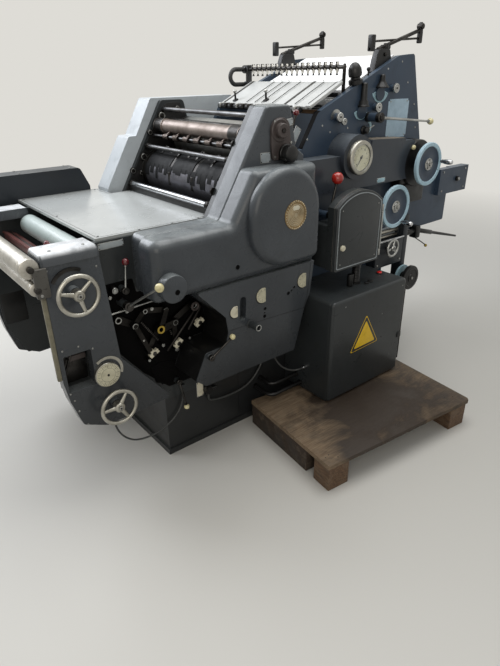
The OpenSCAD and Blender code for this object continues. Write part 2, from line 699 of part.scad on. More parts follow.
module rod(x, z, r) cross(x, z, r, -inner_y, inner_y);
top_rod_z = tower_z - 40;
back_rod_x = -150;
back_rod_z = tower_z - 48;
middle_rod_z = tower_z - 201;
bar_z = table_z + 35;
fascia_x = -424;
fascia_t = 6;
fascia_h = 26;
module cross_rods() color(bright_steel) {
    rod(tower_left + 9, top_rod_z, rod_r);
    rod(back_rod_x, back_rod_z, thin_rod_r);
    rod(slant_x(middle_rod_z) + 23.17, middle_rod_z, rod_r);
    rod(slant_x(bar_z) + 16.67, bar_z, bar_r);
    block([fascia_x, -inner_y, table_z], [fascia_x + fascia_t, inner_y, table_z + fascia_h]);
}
ring_bar_x = -267;
ring_bar_z = 1287;
ring_r = 13;
ring_w = 8;
first_ring_y = -230;
ring_span = 440;
module ring_bar() color(bright_steel) {
    rod(ring_bar_x, ring_bar_z, thin_rod_r);
    for (i = [0 : ring_count - 1])
        translate([ring_bar_x, first_ring_y + ring_span * i / (ring_count - 1), ring_bar_z])
            rotate([90, 0, 0]) cylinder(r = ring_r, h = ring_w);
}
collar_r = steel_r + 4;
module steel_roller() color(bright_steel) {
    roller(steel_x, steel_z, steel_r);
    for (s = [-1, 1]) cross(steel_x, steel_z, collar_r, s * 300 - 36, s * 300 + 36);
}
module blanket_cylinder() color(black_steel) difference() {
    roller(blanket_x, blanket_z, cylinder_r);
    translate([blanket_x, 0, blanket_z]) rotate([0, -35, 0])
        block([-cylinder_r - 5, -inner_y + 40, -32], [-cylinder_r + 30, inner_y - 40, 32]);
}
module plate_cylinder() color(black_steel) roller(plate_x, plate_z, cylinder_r);

// Linkage on the operator side frame

hub_spots = [[-892, 735, 15], [-827, 691, 15], [-721, 645, 17], [-653, 655, 15], [-560, 705, 14],
    [-775, 560, 11], [-655, 560, 11], [-690, 720, 12], [-780, 740, 12]];
hub_out = 38;
module linkage() color(black_steel) {
    for (h = hub_spots) cross(h[0], h[1], h[2], -outer_y - hub_out, -outer_y);
    for (i = [0 : len(hub_spots) - 2]) {
        a = hub_spots[i];
        b = hub_spots[i + 1];
        bar([a[0], -outer_y - 20, a[1]], [b[0], -outer_y - 20, b[1]], 6);
    }
}
module foot_lever() color(black_steel)
    ball_lever(foot_pivot, 13, 14, [-640, foot_pivot[1] - 20, 250], 5, 12);
module delivery_lever() color(black_steel)
    ball_lever(delivery_pivot, 18, 24, [-820, -615, 909], 5, 16);
module red_ball_lever() color(black_steel)
    ball_lever(red_pivot, 14, 14, [-837, red_pivot[1], 952], 4, 13);

module delivery_wheel_upper() color(bright_steel)
    spoked_wheel(wheel_d_up_x, wheel_d_up_z, wheel_d_y, delivery_wheel_r, 8, 20, wheel_hub_len, 42);
module delivery_wheel_lower() color(bright_steel)
    spoked_wheel(wheel_d_low_x, wheel_d_low_z, wheel_d_y, delivery_wheel_r, 8, 20, wheel_hub_len, -62);

// Feeder

board_x0 = 130;
board_z0 = 1418;
board_len = 221;
board_rod_r = 10;
board_rod_drop = 26;
function on_board(s, up) = [board_x0 + s * cos(board_slope) - up * sin(board_slope),
    board_z0 + s * sin(board_slope) + up * cos(board_slope)];
function on_board_corner(s, up, r) = concat(on_board(s, up), [r]);
module feed_board() color([0.93, 0.93, 0.90]) {
    plate([on_board_corner(0, -board_t, 1), on_board_corner(board_len, -board_t, 1),
        on_board_corner(board_len, 0, 1), on_board_corner(0, 0, 1)], -sheet_w / 2, sheet_w / 2);
    for (s = [70, 180]) {
        p = on_board(s, -board_t - board_rod_drop);
        rod(p[0], p[1], board_rod_r);
        for (y = [-200, 180]) translate([p[0], y, p[1]]) rotate([0, -board_slope, 0])
            translate([-6, 0, 0]) cube([12, 20, board_rod_drop]);
    }
}

leg_right = 700;
undercut_right = 850;
shelf_z = 745;
shelf_right = 1245;
shelf_top = 1050;
feeder_pts = [[feeder_x, bed_h, 1], [leg_right, bed_h, 1], [leg_right, undercut_z, 12],
    [undercut_right, undercut_z, 10], [undercut_right, shelf_z, 12], [shelf_right, shelf_z + 5, 10],
    [shelf_right, shelf_top, 10], [925, shelf_top, 10], [913, 1235, 16], [791, 1624, 16],
    [674, 1615, 16], [150, 1394, 16], [60, 1250, 16], [feeder_x, 1250, 1]];
bracket_foot_z = 910;
side_bracket_left = 1120;
side_bracket_t = 25;
module feeder_plate() {
    plate(feeder_pts, -outer_y, -inner_y);
    block([side_bracket_left, -outer_y - side_bracket_t, bracket_foot_z],
        [feeder_right, -outer_y, shelf_top + 2]);
    block([shelf_right, -outer_y, bracket_foot_z], [feeder_right, -inner_y, shelf_top + 2]);
}
feeder_pivot = [478, -445, 1360];
knob_x = 792;
knob_z = 523;
knob_y = -500;
module feeder_plate_operator() color(blue_enamel) {
    feeder_plate();
    for (p = [[wheel_up_x, wheel_up_z], [wheel_low_x, wheel_low_z]])
        stud(p[0], p[1], -outer_y, wheel_y + crank_hub_len * 0.6, stud_in_wheel, 26);
    stud(main_pivot[0], main_pivot[2], -outer_y, main_pivot[1] + 8, 10, 15);
    stud(feeder_pivot[0], feeder_pivot[2], -outer_y, feeder_pivot[1] + 11, 14, 20);
    for (p = [[552, 1456], [430, 1384]]) cross(p[0], p[1], scale_boss_r, -outer_y - 8, -outer_y);
    for (p = [[640, 1478], [522, 1400], [262, 1372]]) cross(p[0], p[1], knob_boss_r, -outer_y - 24, -outer_y);
}
scale_boss_r = 30;
knob_boss_r = 16;
hose_rest_x = 330;
module feeder_plate_drive() color(blue_enamel) {
    mirror([0, 1, 0]) feeder_plate();
    block([hose_rest_x, inner_y + 1, 1450], [hose_rest_x + 22, outer_y - 2, 1512]);
}

sucker_x = 335;
sucker_z = 1570;
sucker_foot = 1537;
arm_t = 20;
arm_w = 30;
arm_foot_z = 1410;
arm_top_z = sucker_z + 20;
sucker_margin = 14;
sucker_r = 8;
sucker_neck_r = 4;
sucker_cup_h = 9;
sucker_clamp_r = 15;
sucker_clamp_w = 12;
hose_union_r = 20;
hose_union_len = 30;
module sucker_arm() block([sucker_x - arm_w / 2, -inner_y, arm_foot_z],
    [sucker_x + arm_w / 2, -inner_y + arm_t, arm_top_z]);
module sucker() {
    translate([0, 0, sucker_foot]) cylinder(r1 = sucker_r, r2 = sucker_neck_r, h = sucker_cup_h);
    translate([0, 0, sucker_foot]) cylinder(r = sucker_neck_r, h = sucker_z - sucker_foot);
    cross(0, sucker_z, sucker_clamp_r, -sucker_clamp_w / 2, sucker_clamp_w / 2);
}
module sucker_bar() color(black_steel) {
    rod(sucker_x, sucker_z, sucker_bar_r);
    sucker_arm();
    mirror([0, 1, 0]) sucker_arm();
    cross(sucker_x, sucker_z, hose_union_r, inner_y, inner_y + hose_union_len);
    for (i = [0 : sucker_count - 1]) translate([sucker_x, -sheet_w / 2 + sucker_margin
        + (sheet_w - 2 * sucker_margin) * i / (sucker_count - 1), 0]) sucker();
}

hose_r = 11;
hose_y = inner_y + 13;
hose_bend = 36;
hose_x = 265;
module suction_hose() color(black_steel) {
    hz = sucker_z - hose_bend;
    translate([hose_x, hose_y, hz]) rotate([90, 0, 0]) rotate([0, 0, 90])
        rotate_extrude(angle = 180) translate([hose_bend, 0]) circle(r = hose_r);
    for (e = [[sucker_x - 20, sucker_z], [330, hz - hose_bend]])
        translate([hose_x, hose_y, e[1]]) rotate([0, 90, 0]) cylinder(r = hose_r, h = e[0] - hose_x);
}

pile_slope = 22.9;
pile_x0 = 372;
pile_x1 = 720;
pile_z0 = 1475;
pile_t = 90;
pile_board_t = 18;
function pile_z(x) = pile_z0 + (x - pile_x0) * tan(pile_slope);
module paper_pile() color([0.95, 0.95, 0.94])
    plate([[pile_x0, pile_z(pile_x0) - pile_t, 1], [pile_x1, pile_z(pile_x1) - pile_t, 1],
        [pile_x1, pile_z(pile_x1), 1], [pile_x0, pile_z(pile_x0), 1]], -sheet_w / 2 + 5, sheet_w / 2 - 5);
module pile_board() color([0.45, 0.33, 0.22]) {
    d = pile_t + pile_board_t;
    plate([[pile_x0, pile_z(pile_x0) - d, 1], [pile_x1, pile_z(pile_x1) - d, 1],
        [pile_x1, pile_z(pile_x1) - pile_t, 1], [pile_x0, pile_z(pile_x0) - pile_t, 1]],
        -sheet_w / 2, sheet_w / 2);
    for (x = [430, 650]) rod(x, pile_z(x) - d - 9, 12);
}

guide_x = 590;
guide_w = 120;
guide_z = 1540;
guide_h = 105;
guide_rod_y = -inner_y + 16;
guide_reach = 290;
post_z = 1630;
module pile_guide() {
    block([guide_x - guide_w / 2, -inner_y, guide_z],
        [guide_x + guide_w / 2, -inner_y + sheet_margin + 2, guide_z + guide_h]);
    bar([guide_x - 30, guide_rod_y, guide_z + guide_h - 5],
        [guide_x + guide_reach, guide_rod_y, post_z + 100], 9);
    bar([guide_x - 70, guide_rod_y, post_z + 42], [guide_x + guide_reach - 8, guide_rod_y, post_z + 62], 5);
    block([guide_x - 85, guide_rod_y - 8, post_z], [guide_x - guide_w / 2, guide_rod_y + 8, post_z + 70]);
    block([guide_x + guide_reach - 20, guide_rod_y - 10, post_z + 40],
        [guide_x + guide_reach + 4, guide_rod_y + 10, post_z + 130]);
}
module pile_guides() color(black_steel) {
    pile_guide();
    mirror([0, 1, 0]) pile_guide();
}

module feeder_lever() color(bright_steel)
    ball_lever(feeder_pivot, 22, 22, [878, feeder_pivot[1], 1321], 6, 16);
module feeder_wheel_upper() color(pale_blue)
    cranked_wheel(wheel_up_x, wheel_up_z, wheel_y, feeder_wheel_r, 0);
module feeder_wheel_lower() color(pale_blue)
    cranked_wheel(wheel_low_x, wheel_low_z, wheel_y, feeder_wheel_r, -60);
module adjusting_knob() color(black_steel) difference() {
    cross(knob_x, knob_z, knob_disc_r, knob_y - 12, knob_y + 12);
    cross(knob_x, knob_z, stud_r + run_gap, knob_y - 4, knob_y + 13);
}

case_left = 560;
case_top = 740;
case_out = 62;
hanger_left = 785;
hanger_right = 825;
hanger_foot = 505;
hanger_top = 860;
shaft_y = -outer_y - 35;
shaft_r = 16;
shaft_end_x = 945;
clamp_len = 40;
grip_r = 13;
grip_end = [1090, shaft_y, 705];
tip_r = 7;
tip_start = [1080, shaft_y, 707.7];
tip_end = [1360, shaft_y, 633];
scale_disc_r = 60;
scale_disc_t = 12;
small_x = 653;
small_z = 712;
small_y = -466;
module pile_drive() color(bright_steel) {
    block([case_left, -outer_y - case_out, undercut_z], [hanger_left + 5, -outer_y, case_top]);
    block([hanger_left, -outer_y - case_out, hanger_foot], [hanger_right, -outer_y, hanger_top]);
    stud(small_x, small_z, -outer_y - case_out + 2, small_y + wheel_hub_len * 0.7, stud_in_wheel, 16);
    stud(knob_x, knob_z, -outer_y - case_out + 2, knob_y + 12, 14, 22);
    cross(knob_x, knob_z, scale_disc_r, -outer_y - case_out - 8 - scale_disc_t, -outer_y - case_out - 8);
    translate([hanger_right - 5, shaft_y, grip_end[2] + 40]) rotate([0, 90, 0])
        cylinder(r = shaft_r, h = shaft_end_x - hanger_right);
    block([shaft_end_x - clamp_len, shaft_y - 25, grip_end[2]],
        [shaft_end_x, shaft_y + 25, grip_end[2] + 70]);
    bar([shaft_end_x - 5, shaft_y, grip_end[2] + 40], grip_end, grip_r);
    bar(tip_start, tip_end, tip_r);
}
module small_wheel() color(bright_steel)
    spoked_wheel(small_x, small_z, small_y, small_wheel_r, 7, 16, wheel_hub_len, 75);

// Drive side covers

drive_y = 500;
drive_right = 250;
drive_top = tower_z + 10;
drive_edge_r = 20;
drive_step_z = 1285;
drive_step_left = -385;
drive_step_right = -345;
drive_brow_left = -250;
module drive_cover() color(pale_enamel) mirror([0, 1, 0])
    casting([[drive_right, table_z - table_t, 1], [drive_right, drive_top, 20],
        [drive_brow_left, drive_top, 16], [drive_step_right, drive_step_z, 6],
        [drive_step_left, drive_step_z, 14], [table_step_x, table_z + 15, 6],
        [table_step_x, table_z - table_t, 1]], -drive_y, -outer_y, drive_edge_r);
low_cover_left = -900;
low_cover_foot = -745;
low_cover_brow = 600;
ink_unit_left = -1160;
ink_unit_right = -560;
ink_unit_z = 960;
ink_unit_top = 1150;
ink_unit_edge_r = 16;
module ink_cover_drive() color(enamel) mirror([0, 1, 0]) {
    casting([[low_cover_foot, lower_cover_foot_z, 10], [drive_right, lower_cover_foot_z, 20],
        [drive_right, table_z - table_t, 1], [low_cover_left, table_z - table_t, 1],
        [low_cover_left, low_cover_brow, 20]], -drive_y, -outer_y, drive_edge_r);
    casting([[ink_unit_left, ink_unit_z, 10], [ink_unit_right, ink_unit_z, 10],
        [ink_unit_right, ink_unit_top - 90, 10], [ink_unit_right - 40, ink_unit_top, 20],
        [ink_unit_left, ink_unit_top, 20]], -drive_y - ink_unit_out, -drive_y, ink_unit_edge_r);
}

pipe_r = 10;
pipe_bend = 30;
module lower_pipe(x, z, y) {
    cross(x, z, pipe_r, -y + pipe_bend, -outer_y);
    translate([x + pipe_bend, -y + pipe_bend, z]) rotate([0, 0, 180])
        rotate_extrude(angle = 90) translate([pipe_bend, 0]) circle(r = pipe_r);
    translate([x + pipe_bend, -y, z]) rotate([0, 90, 0]) cylinder(r = pipe_r, h = cabinet_left - x - pipe_bend);
}
module lower_pipes() color(black_steel) {
    lower_pipe(-185, 198, outer_y + 90);
    lower_pipe(-215, 162, outer_y + 120);
}

// Cabinet and pallet

cabinet_left = -20;
cabinet_right = cabinet_left + cabinet_w;
cabinet_door_t = 22;
cabinet_foot = pallet_h;
cabinet_back = -cabinet_front + cabinet_door_t + cabinet_d;
cabinet_hinge_z = cabinet_foot + cabinet_h * 0.12;
cabinet_hinge_gap = cabinet_h * 0.7;
lamp_x = 335;
lamp_y = -590;
lamp_r = 14;
ferrule_y = -512;
ferrule_z = 258;
ferrule_len = 20;
module cabinet_body() color(enamel) {
    y0 = -cabinet_front + cabinet_door_t;
    w = cabinet_wall;
    difference() {
        plate([[cabinet_left, cabinet_foot, 12], [cabinet_right, cabinet_foot, 12],
            [cabinet_right, cabinet_foot + cabinet_h, 20], [cabinet_left, cabinet_foot + cabinet_h, 20]],
            y0, cabinet_back);
        block([cabinet_left + w, y0 - 1, cabinet_foot + w],
            [cabinet_right - w, cabinet_back - w, cabinet_foot + cabinet_h - w]);
    }
    translate([lamp_x, lamp_y, cabinet_foot + cabinet_h - 2]) cylinder(r = lamp_r, h = 12);
    translate([cabinet_left - ferrule_len, ferrule_y, ferrule_z]) rotate([0, 90, 0])
        cylinder(r = gland_r, h = ferrule_len + 2);
    for (s = [0, 1]) translate([cabinet_right + hinge_r, y0 - cabinet_door_t / 2,
        cabinet_hinge_z + cabinet_hinge_gap * s]) knuckle(cabinet_door_t, 30);
}
module cabinet_door() color(enamel) {
    y0 = -cabinet_front + cabinet_door_t;
    casting([[cabinet_left, cabinet_foot + swing_gap, 12], [cabinet_right - 1, cabinet_foot + swing_gap, 12],
        [cabinet_right - 1, cabinet_foot + cabinet_h, 20], [cabinet_left, cabinet_foot + cabinet_h, 20]],
        -cabinet_front, y0 - seat_gap, 14);
    barrel = cabinet_hinge_gap - knuckle_len - 2 * seat_gap;
    translate([cabinet_right + hinge_r, y0 - cabinet_door_t / 2, cabinet_hinge_z + knuckle_len + seat_gap]) {
        cylinder(r = hinge_r, h = barrel);
        translate([-hinge_r - 8, -4, 0]) cube([hinge_r + 8, 8, barrel]);
    }
}

pallet_corner = [-342, -999];
pallet_turn = -6;
runner_w = 90;
runner_start = 150;
block_w = 110;
block_d = 100;
block_inset = 20;
module pallet() color([0.42, 0.28, 0.18])
    translate([pallet_corner[0], pallet_corner[1], 0]) rotate([0, 0, pallet_turn]) {
        under = pallet_h - deck_t;
        translate([0, 0, under]) cube([pallet_len, pallet_w, deck_t]);
        for (x = [0, pallet_len - block_w - block_inset]) translate([x, 0, 0]) cube([block_w, block_d, under]);
        for (x = [0, (pallet_len - runner_w) / 2, pallet_len - runner_w - block_inset])
            translate([x, runner_start, 0]) cube([runner_w, pallet_w - runner_start, under]);
    }

// Leads that hang between their glands

socket_route = [[socket_x, socket_lead_y, socket_z - socket_r - 8], [-500, -383, 218], [-490, -383, 202],
    [-455, -383, 192], [-400, -383, 186], [-340, -383, 186], [-285, -383, 196], [-240, -383, 220],
    [-205, -383, 256], [-178, -383, 300], [-158, -383, 345], [-148, -383, 372],
    [socket_top_x, socket_lead_y, lower_cover_foot_z - 10]];
foot_route = [[foot_gland_x, foot_lead_y, foot_gland_z], [-630, -381, 296], [-636, -381, 262],
    [-650, -381, 230], [-672, -381, 202], [-702, -381, 179], [-740, -382, 163], [-790, -384, 154],
    [-840, -387, 158], [-885, -390, 174], [-920, -393, 203], [-944, -394, 238], [-957, -395, 274],
    [-960, -395, 296], [delivery_gland_x, delivery_gland_y, delivery_gland_z]];
cabinet_route = [[cabinet_gland_x, cabinet_gland_y, lower_cover_foot_z - 10], [-165, -450, 372],
    [-161, -453, 342], [-149, -460, 311], [-129, -472, 283], [-103, -487, 264], [-78, -500, 257],
    [-57, -509, 257], [cabinet_left - ferrule_len, ferrule_y, ferrule_z]];
module socket_lead() color(black_steel) lead(eased(socket_route, 2), socket_lead_d / 2);
module foot_lead() color(black_steel) lead(eased(foot_route, 2), foot_lead_d / 2);
module cabinet_lead() color(black_steel) lead(eased(cabinet_route, 3), cabinet_lead_d / 2);

bed();
side_frame_operator();
side_frame_drive();
cross_members();
tower_casting();
tower_drive_unit();
tower_lever();
operator_casting();
casting_boss();
lower_cover();
cover_lever();
foot_lever();
gear_cover();
gauge_beam();
pressure_gauge();
control_box();
control_box_door();
main_lever();
delivery_plate_operator();
delivery_plate_drive();
end_rails();
table_panel();
ink_tray();
ink_roller();
cross_rods();
ring_bar();
steel_roller();
blanket_cylinder();
plate_cylinder();
linkage();
delivery_lever();
red_ball_lever();
delivery_wheel_upper();
delivery_wheel_lower();
feed_board();
feeder_plate_operator();
feeder_plate_drive();
sucker_bar();
suction_hose();
paper_pile();
pile_board();
pile_guides();
feeder_lever();
feeder_wheel_upper();
feeder_wheel_lower();
small_wheel();
adjusting_knob();
pile_drive();
drive_cover();
ink_cover_drive();
lower_pipes();
cabinet_body();
cabinet_door();
pallet();
socket_lead();
foot_lead();
cabinet_lead();
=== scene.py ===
# Offset printing press: finishes, fittings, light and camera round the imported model.
# Sizes are in millimetres in the frame of the model until a mesh is made of them.
import json
import math

import bmesh
import bpy
import numpy as np
from mathutils import Matrix


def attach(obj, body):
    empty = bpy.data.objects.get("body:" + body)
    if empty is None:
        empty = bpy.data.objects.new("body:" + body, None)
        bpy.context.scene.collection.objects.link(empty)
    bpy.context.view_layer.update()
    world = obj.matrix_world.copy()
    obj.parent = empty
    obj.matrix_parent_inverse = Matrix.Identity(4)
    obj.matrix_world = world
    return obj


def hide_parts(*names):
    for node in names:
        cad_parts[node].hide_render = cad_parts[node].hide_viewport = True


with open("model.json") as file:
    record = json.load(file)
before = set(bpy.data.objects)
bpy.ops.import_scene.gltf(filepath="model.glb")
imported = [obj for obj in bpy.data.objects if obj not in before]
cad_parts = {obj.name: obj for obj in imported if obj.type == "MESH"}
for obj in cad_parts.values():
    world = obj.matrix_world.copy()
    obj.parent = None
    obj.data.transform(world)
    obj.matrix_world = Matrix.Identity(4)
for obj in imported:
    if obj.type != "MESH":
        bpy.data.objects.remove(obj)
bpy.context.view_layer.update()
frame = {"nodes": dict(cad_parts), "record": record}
nodes = frame["nodes"]
bodies = frame["record"]["behaviour"]["bodies"]
body_of = {n: b for b, members in bodies.items() for n in members}
for imported in list(bpy.data.materials):
    bpy.data.materials.remove(imported)
MM = 0.001
rng = np.random.default_rng(7)

# surfaces
FRONT = ((1, 0, 0), (0, 0, 1))
BACK = ((-1, 0, 0), (0, 0, 1))
TOP = ((1, 0, 0), (0, 1, 0))
LEFT = ((0, -1, 0), (0, 0, 1))
RIGHT = ((0, 1, 0), (0, 0, 1))


def unit(v):
    """Each row divided by its own length."""
    return v / np.linalg.norm(v, axis=-1, keepdims=True)


def place(part, origin, axes=FRONT):
    """Puts a part drawn in a, b, c into the machine: a along the first axis, b along the second,
    c out of the face they lie in, from origin."""
    pts, faces = part
    a, b = (np.array(v, float) for v in axes)
    a, b = unit(a), unit(b)
    return pts @ np.array([a, b, np.cross(a, b)]) + np.array(origin, float), faces


def skin(rings, caps=True):
    """A surface through closed rings of points, rows x columns x 3, with a flat face on each end."""
    rows, cols = rings.shape[:2]
    r, c = np.arange(rows - 1)[:, None] * cols, np.arange(cols)[None, :]
    n = (c + 1) % cols
    quads = np.stack([r + c, r + n, r + cols + n, r + cols + c], -1).reshape(-1, 4).tolist()
    ends = [list(range(cols))[::-1], list(range((rows - 1) * cols, rows * cols))] if caps else []
    return rings.reshape(-1, 3), quads + ends


def web(grid):
    """An open surface through a rows x columns grid of points."""
    rows, cols = grid.shape[:2]
    r, c = np.arange(rows - 1)[:, None] * cols, np.arange(cols - 1)[None, :]
    return grid.reshape(-1, 3), np.stack([r + c, r + c + 1, r + cols + c + 1, r + cols + c],
                                         -1).reshape(-1, 4).tolist()


def rounded(corners, steps=8):
    """Outline whose corners [a, b, radius] are arcs tangent to both sides."""
    k = np.array(corners, float)
    p, r = k[:, :2], k[:, 2:]
    u, v = unit(np.roll(p, 1, 0) - p), unit(np.roll(p, -1, 0) - p)
    half = np.arccos(np.clip((u * v).sum(1, keepdims=True), -1, 1)) / 2
    mid = p + unit(u + v) * r / np.sin(half)
    first = p + u * r / np.tan(half) - mid
    side = np.sign(-u[:, 0] * v[:, 1] + u[:, 1] * v[:, 0])[:, None]
    t = np.arctan2(first[:, 1], first[:, 0])[:, None] + side * (np.pi - 2 * half) * (
        np.linspace(0, 1, steps + 1)[None, :])
    return (mid[:, None] + r[:, None] * np.stack([np.cos(t), np.sin(t)], -1)).reshape(-1, 2)


def inset(corners, d):
    """The same corners moved inwards by d; outer radii shrink by it and inner ones grow."""
    k = np.array(corners, float)
    p = k[:, :2]
    e = unit(np.roll(p, -1, 0) - p)
    normal = np.stack([-e[:, 1], e[:, 0]], -1)
    before = np.roll(normal, 1, 0)
    q = p + (before + normal) * d / (1 + (before * normal).sum(1, keepdims=True))
    turn = np.roll(e, 1, 0)
    side = np.sign(turn[:, 0] * e[:, 1] - turn[:, 1] * e[:, 0])
    return np.concatenate([q, np.maximum(k[:, 2] - side * d, 0.05)[:, None]], 1)


def slab(corners, c0, c1, edge=1.0, back=0.0, steps=8, edge_steps=4):
    """A plate of the outline from c0 to c1 whose front edge is a quarter round of radius edge,
    and whose back edge is one of radius back."""
    t = np.linspace(0, np.pi / 2, edge_steps + 1)
    front = [(c1 - edge + edge * math.sin(x), edge * (1 - math.cos(x))) for x in t]
    rear = [(c0 + back - back * math.sin(x), back * (1 - math.cos(x))) for x in t[::-1]]
    rings = (rear if back else [(c0, 0)]) + front
    return skin(np.array([np.insert(rounded(inset(corners, d), steps), 2, c, axis=1)
                          for c, d in rings]))


def block(lo, hi, edge=1.5):
    """A block between two corners with rounded edges."""
    (x0, y0, z0), (x1, y1, z1) = lo, hi
    e = min(edge, (x1 - x0) / 2.1, (y1 - y0) / 2.1, (z1 - z0) / 2.1)
    return place(slab([[x0, y0, e], [x1, y0, e], [x1, y1, e], [x0, y1, e]], z0, z1, e, e, 3, 3),
                 (0, 0, 0), TOP)


def turned(profile, steps=64):
    """A profile of [radius, c] points turned round the c axis."""
    p = np.array(profile, float)
    t = np.linspace(0, 2 * np.pi, steps, endpoint=False)
    return skin(np.stack([p[:, :1] * np.cos(t), p[:, :1] * np.sin(t),
                          np.repeat(p[:, 1:], steps, 1)], -1), False)


def bead(r, c0, c1, edge, steps=64):
    """A short cylinder of radius r from c0 to c1 with both ends closed and rounded."""
    t = np.linspace(0, np.pi / 2, 5)
    return turned([[0, c0], *zip(r - edge + edge * np.sin(t), c0 + edge - edge * np.cos(t)),
                   *zip(r - edge + edge * np.cos(t), c1 - edge + edge * np.sin(t)), [0, c1]], steps)


def ring(r, c, ra, rc, steps=64, sides=20):
    """A ring of radius r at height c whose section is an oval of half-axes ra and rc."""
    t = np.linspace(0, 2 * np.pi, sides + 1)
    return turned(np.stack([r + ra * np.cos(t), c + rc * np.sin(t)], -1), steps)


def ball(r, steps=32):
    """A sphere: a half circle turned round the c axis."""
    t = np.linspace(-np.pi / 2, np.pi / 2, steps // 2 + 1)
    return turned(np.stack([r * np.cos(t), r * np.sin(t)], -1), steps)


def path_through(points, n):
    """n points on a smooth curve through the given ones: cubic pieces with shared slopes."""
    p = np.array(points, float)
    s = np.concatenate([[0], np.cumsum(np.linalg.norm(np.diff(p, axis=0), axis=1))])
    m = np.gradient(p, s, axis=0)
    x = np.linspace(0, s[-1], n)
    i = np.clip(np.searchsorted(s, x, side="right") - 1, 0, len(s) - 2)
    h = (s[i + 1] - s[i])[:, None]
    t = ((x - s[i]) / h[:, 0])[:, None]
    return (p[i] * (2 * t**3 - 3 * t**2 + 1) + m[i] * h * (t**3 - 2 * t**2 + t)
            + p[i + 1] * (3 * t**2 - 2 * t**3) + m[i + 1] * h * (t**3 - t**2))


def tube(path, radius, sides=12, up=(0, 0, 1), caps=True):
    """A round section of the given radius, one number or one for each point, carried along a path."""
    p = np.array(path, float)
    d = unit(np.gradient(p, axis=0))
    u = unit(np.cross(d, np.array(up, float)))
    v = np.cross(u, d)
    t = np.linspace(0, 2 * np.pi, sides, endpoint=False)
    r = np.broadcast_to(np.array(radius, float).reshape(-1, 1, 1), (len(p), 1, 1))
    return skin(p[:, None] + r * (u[:, None] * np.cos(t)[:, None] - v[:, None] * np.sin(t)[:, None]), caps)


def bar(a, b, r, sides=16):
    """A straight round bar between two points, its end edges rounded."""
    a, b = np.array(a, float), np.array(b, float)
    d, size = unit(b - a), np.linalg.norm(b - a)
    e = min(r * 0.3, size / 4)
    s = np.array([0, 0.3 * e, e, size - e, size - 0.3 * e, size])
    up = (0, 0, 1) if abs(d[2]) < 0.9 else (0, 1, 0)
    return tube(a + s[:, None] * d, [r - e, r - 0.3 * e, r, r, r - 0.3 * e, r - e], sides, up)


def mirrored(part, y=0.0):
    """The part on the other side of the plane at y."""
    return part[0] * (1, -1, 1) + (0, 2 * y, 0), part[1]


def join(parts):
    """Several parts as one."""
    start = np.cumsum([0] + [len(p[0]) for p in parts[:-1]])
    return (np.concatenate([p[0] for p in parts]),
            [[i + int(s) for i in f] for p, s in zip(parts, start) for f in p[1]])


def piece(name, groups, swaps=(), body=None, sharp=35, merge=True):
    """Makes one object of (finish, part) pairs. It stands for the nodes in swaps, if any, and rides
    on their body, or on the named one."""
    finishes = list(dict.fromkeys(m for m, _ in groups))
    pts, faces = join([p for _, p in groups])
    mesh = bpy.data.meshes.new(name)
    mesh.from_pydata(pts * MM, [], faces)
    picks = np.concatenate([np.full(len(p[1]), finishes.index(m), np.int32) for m, p in groups])
    mesh.polygons.foreach_set("material_index", picks)
    for m in finishes:
        mesh.materials.append(m)
    b = bmesh.new()
    b.from_mesh(mesh)
    if merge:
        bmesh.ops.remove_doubles(b, verts=b.verts, dist=2e-6)
        bmesh.ops.recalc_face_normals(b, faces=b.faces)
    b.to_mesh(mesh)
    b.free()
    mesh.polygons.foreach_set("use_smooth", np.ones(len(mesh.polygons), bool))
    mesh.set_sharp_from_angle(angle=math.radians(sharp))
    o = bpy.data.objects.new(name, mesh)
    bpy.context.scene.collection.objects.link(o)
    swaps = [swaps] if isinstance(swaps, str) else list(swaps)
    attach(o, body or (body_of[swaps[0]] if swaps else "press"))
    if swaps:
        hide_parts(*swaps)
    return o


# finishes
def colour(code):
    """sRGB hex to the linear colour that a node takes."""
    v = np.array([int(code[i:i + 2], 16) for i in (1, 3, 5)]) / 255
    return (*np.where(v <= 0.04045, v / 12.92, ((v + 0.055) / 1.055) ** 2.4).tolist(), 1.0)


def add(tree, kind, inputs=None, **settings):
    """Adds a node with its settings; an input's value is a number, a colour or another node's output."""
    n = tree.nodes.new("ShaderNode" + kind)
    for key, value in settings.items():
        setattr(n, key, value)
    for key, value in (inputs or {}).items():
        if isinstance(value, bpy.types.NodeSocket):
            tree.links.new(value, n.inputs[key])
        else:
            n.inputs[key].default_value = value
    return n


def blank(name, slot, **shader):
    """An empty material with its Principled shader, whose fixed values are given by name."""
    m = bpy.data.materials.new(name)
    m.use_nodes = True
    tree = m.node_tree
    tree.nodes.clear()
    s = add(tree, "BsdfPrincipled", {k.replace("_", " "): v for k, v in shader.items()})
    add(tree, "OutputMaterial", {"Surface": s.outputs[0]})
    return m, tree, s


def spread(tree, source, lo, hi, to_lo=0.0, to_hi=1.0):
    """The part of a pattern between lo and hi, stretched over to_lo to to_hi."""
    return add(tree, "MapRange", {"Value": source, "From Min": lo, "From Max": hi,
                                  "To Min": to_lo, "To Max": to_hi}).outputs[0]


def mixed(tree, share, a, b):
    """Two colours mixed by a share."""
    return add(tree, "Mix", {0: share, 6: a, 7: b}, data_type="RGBA").outputs[2]


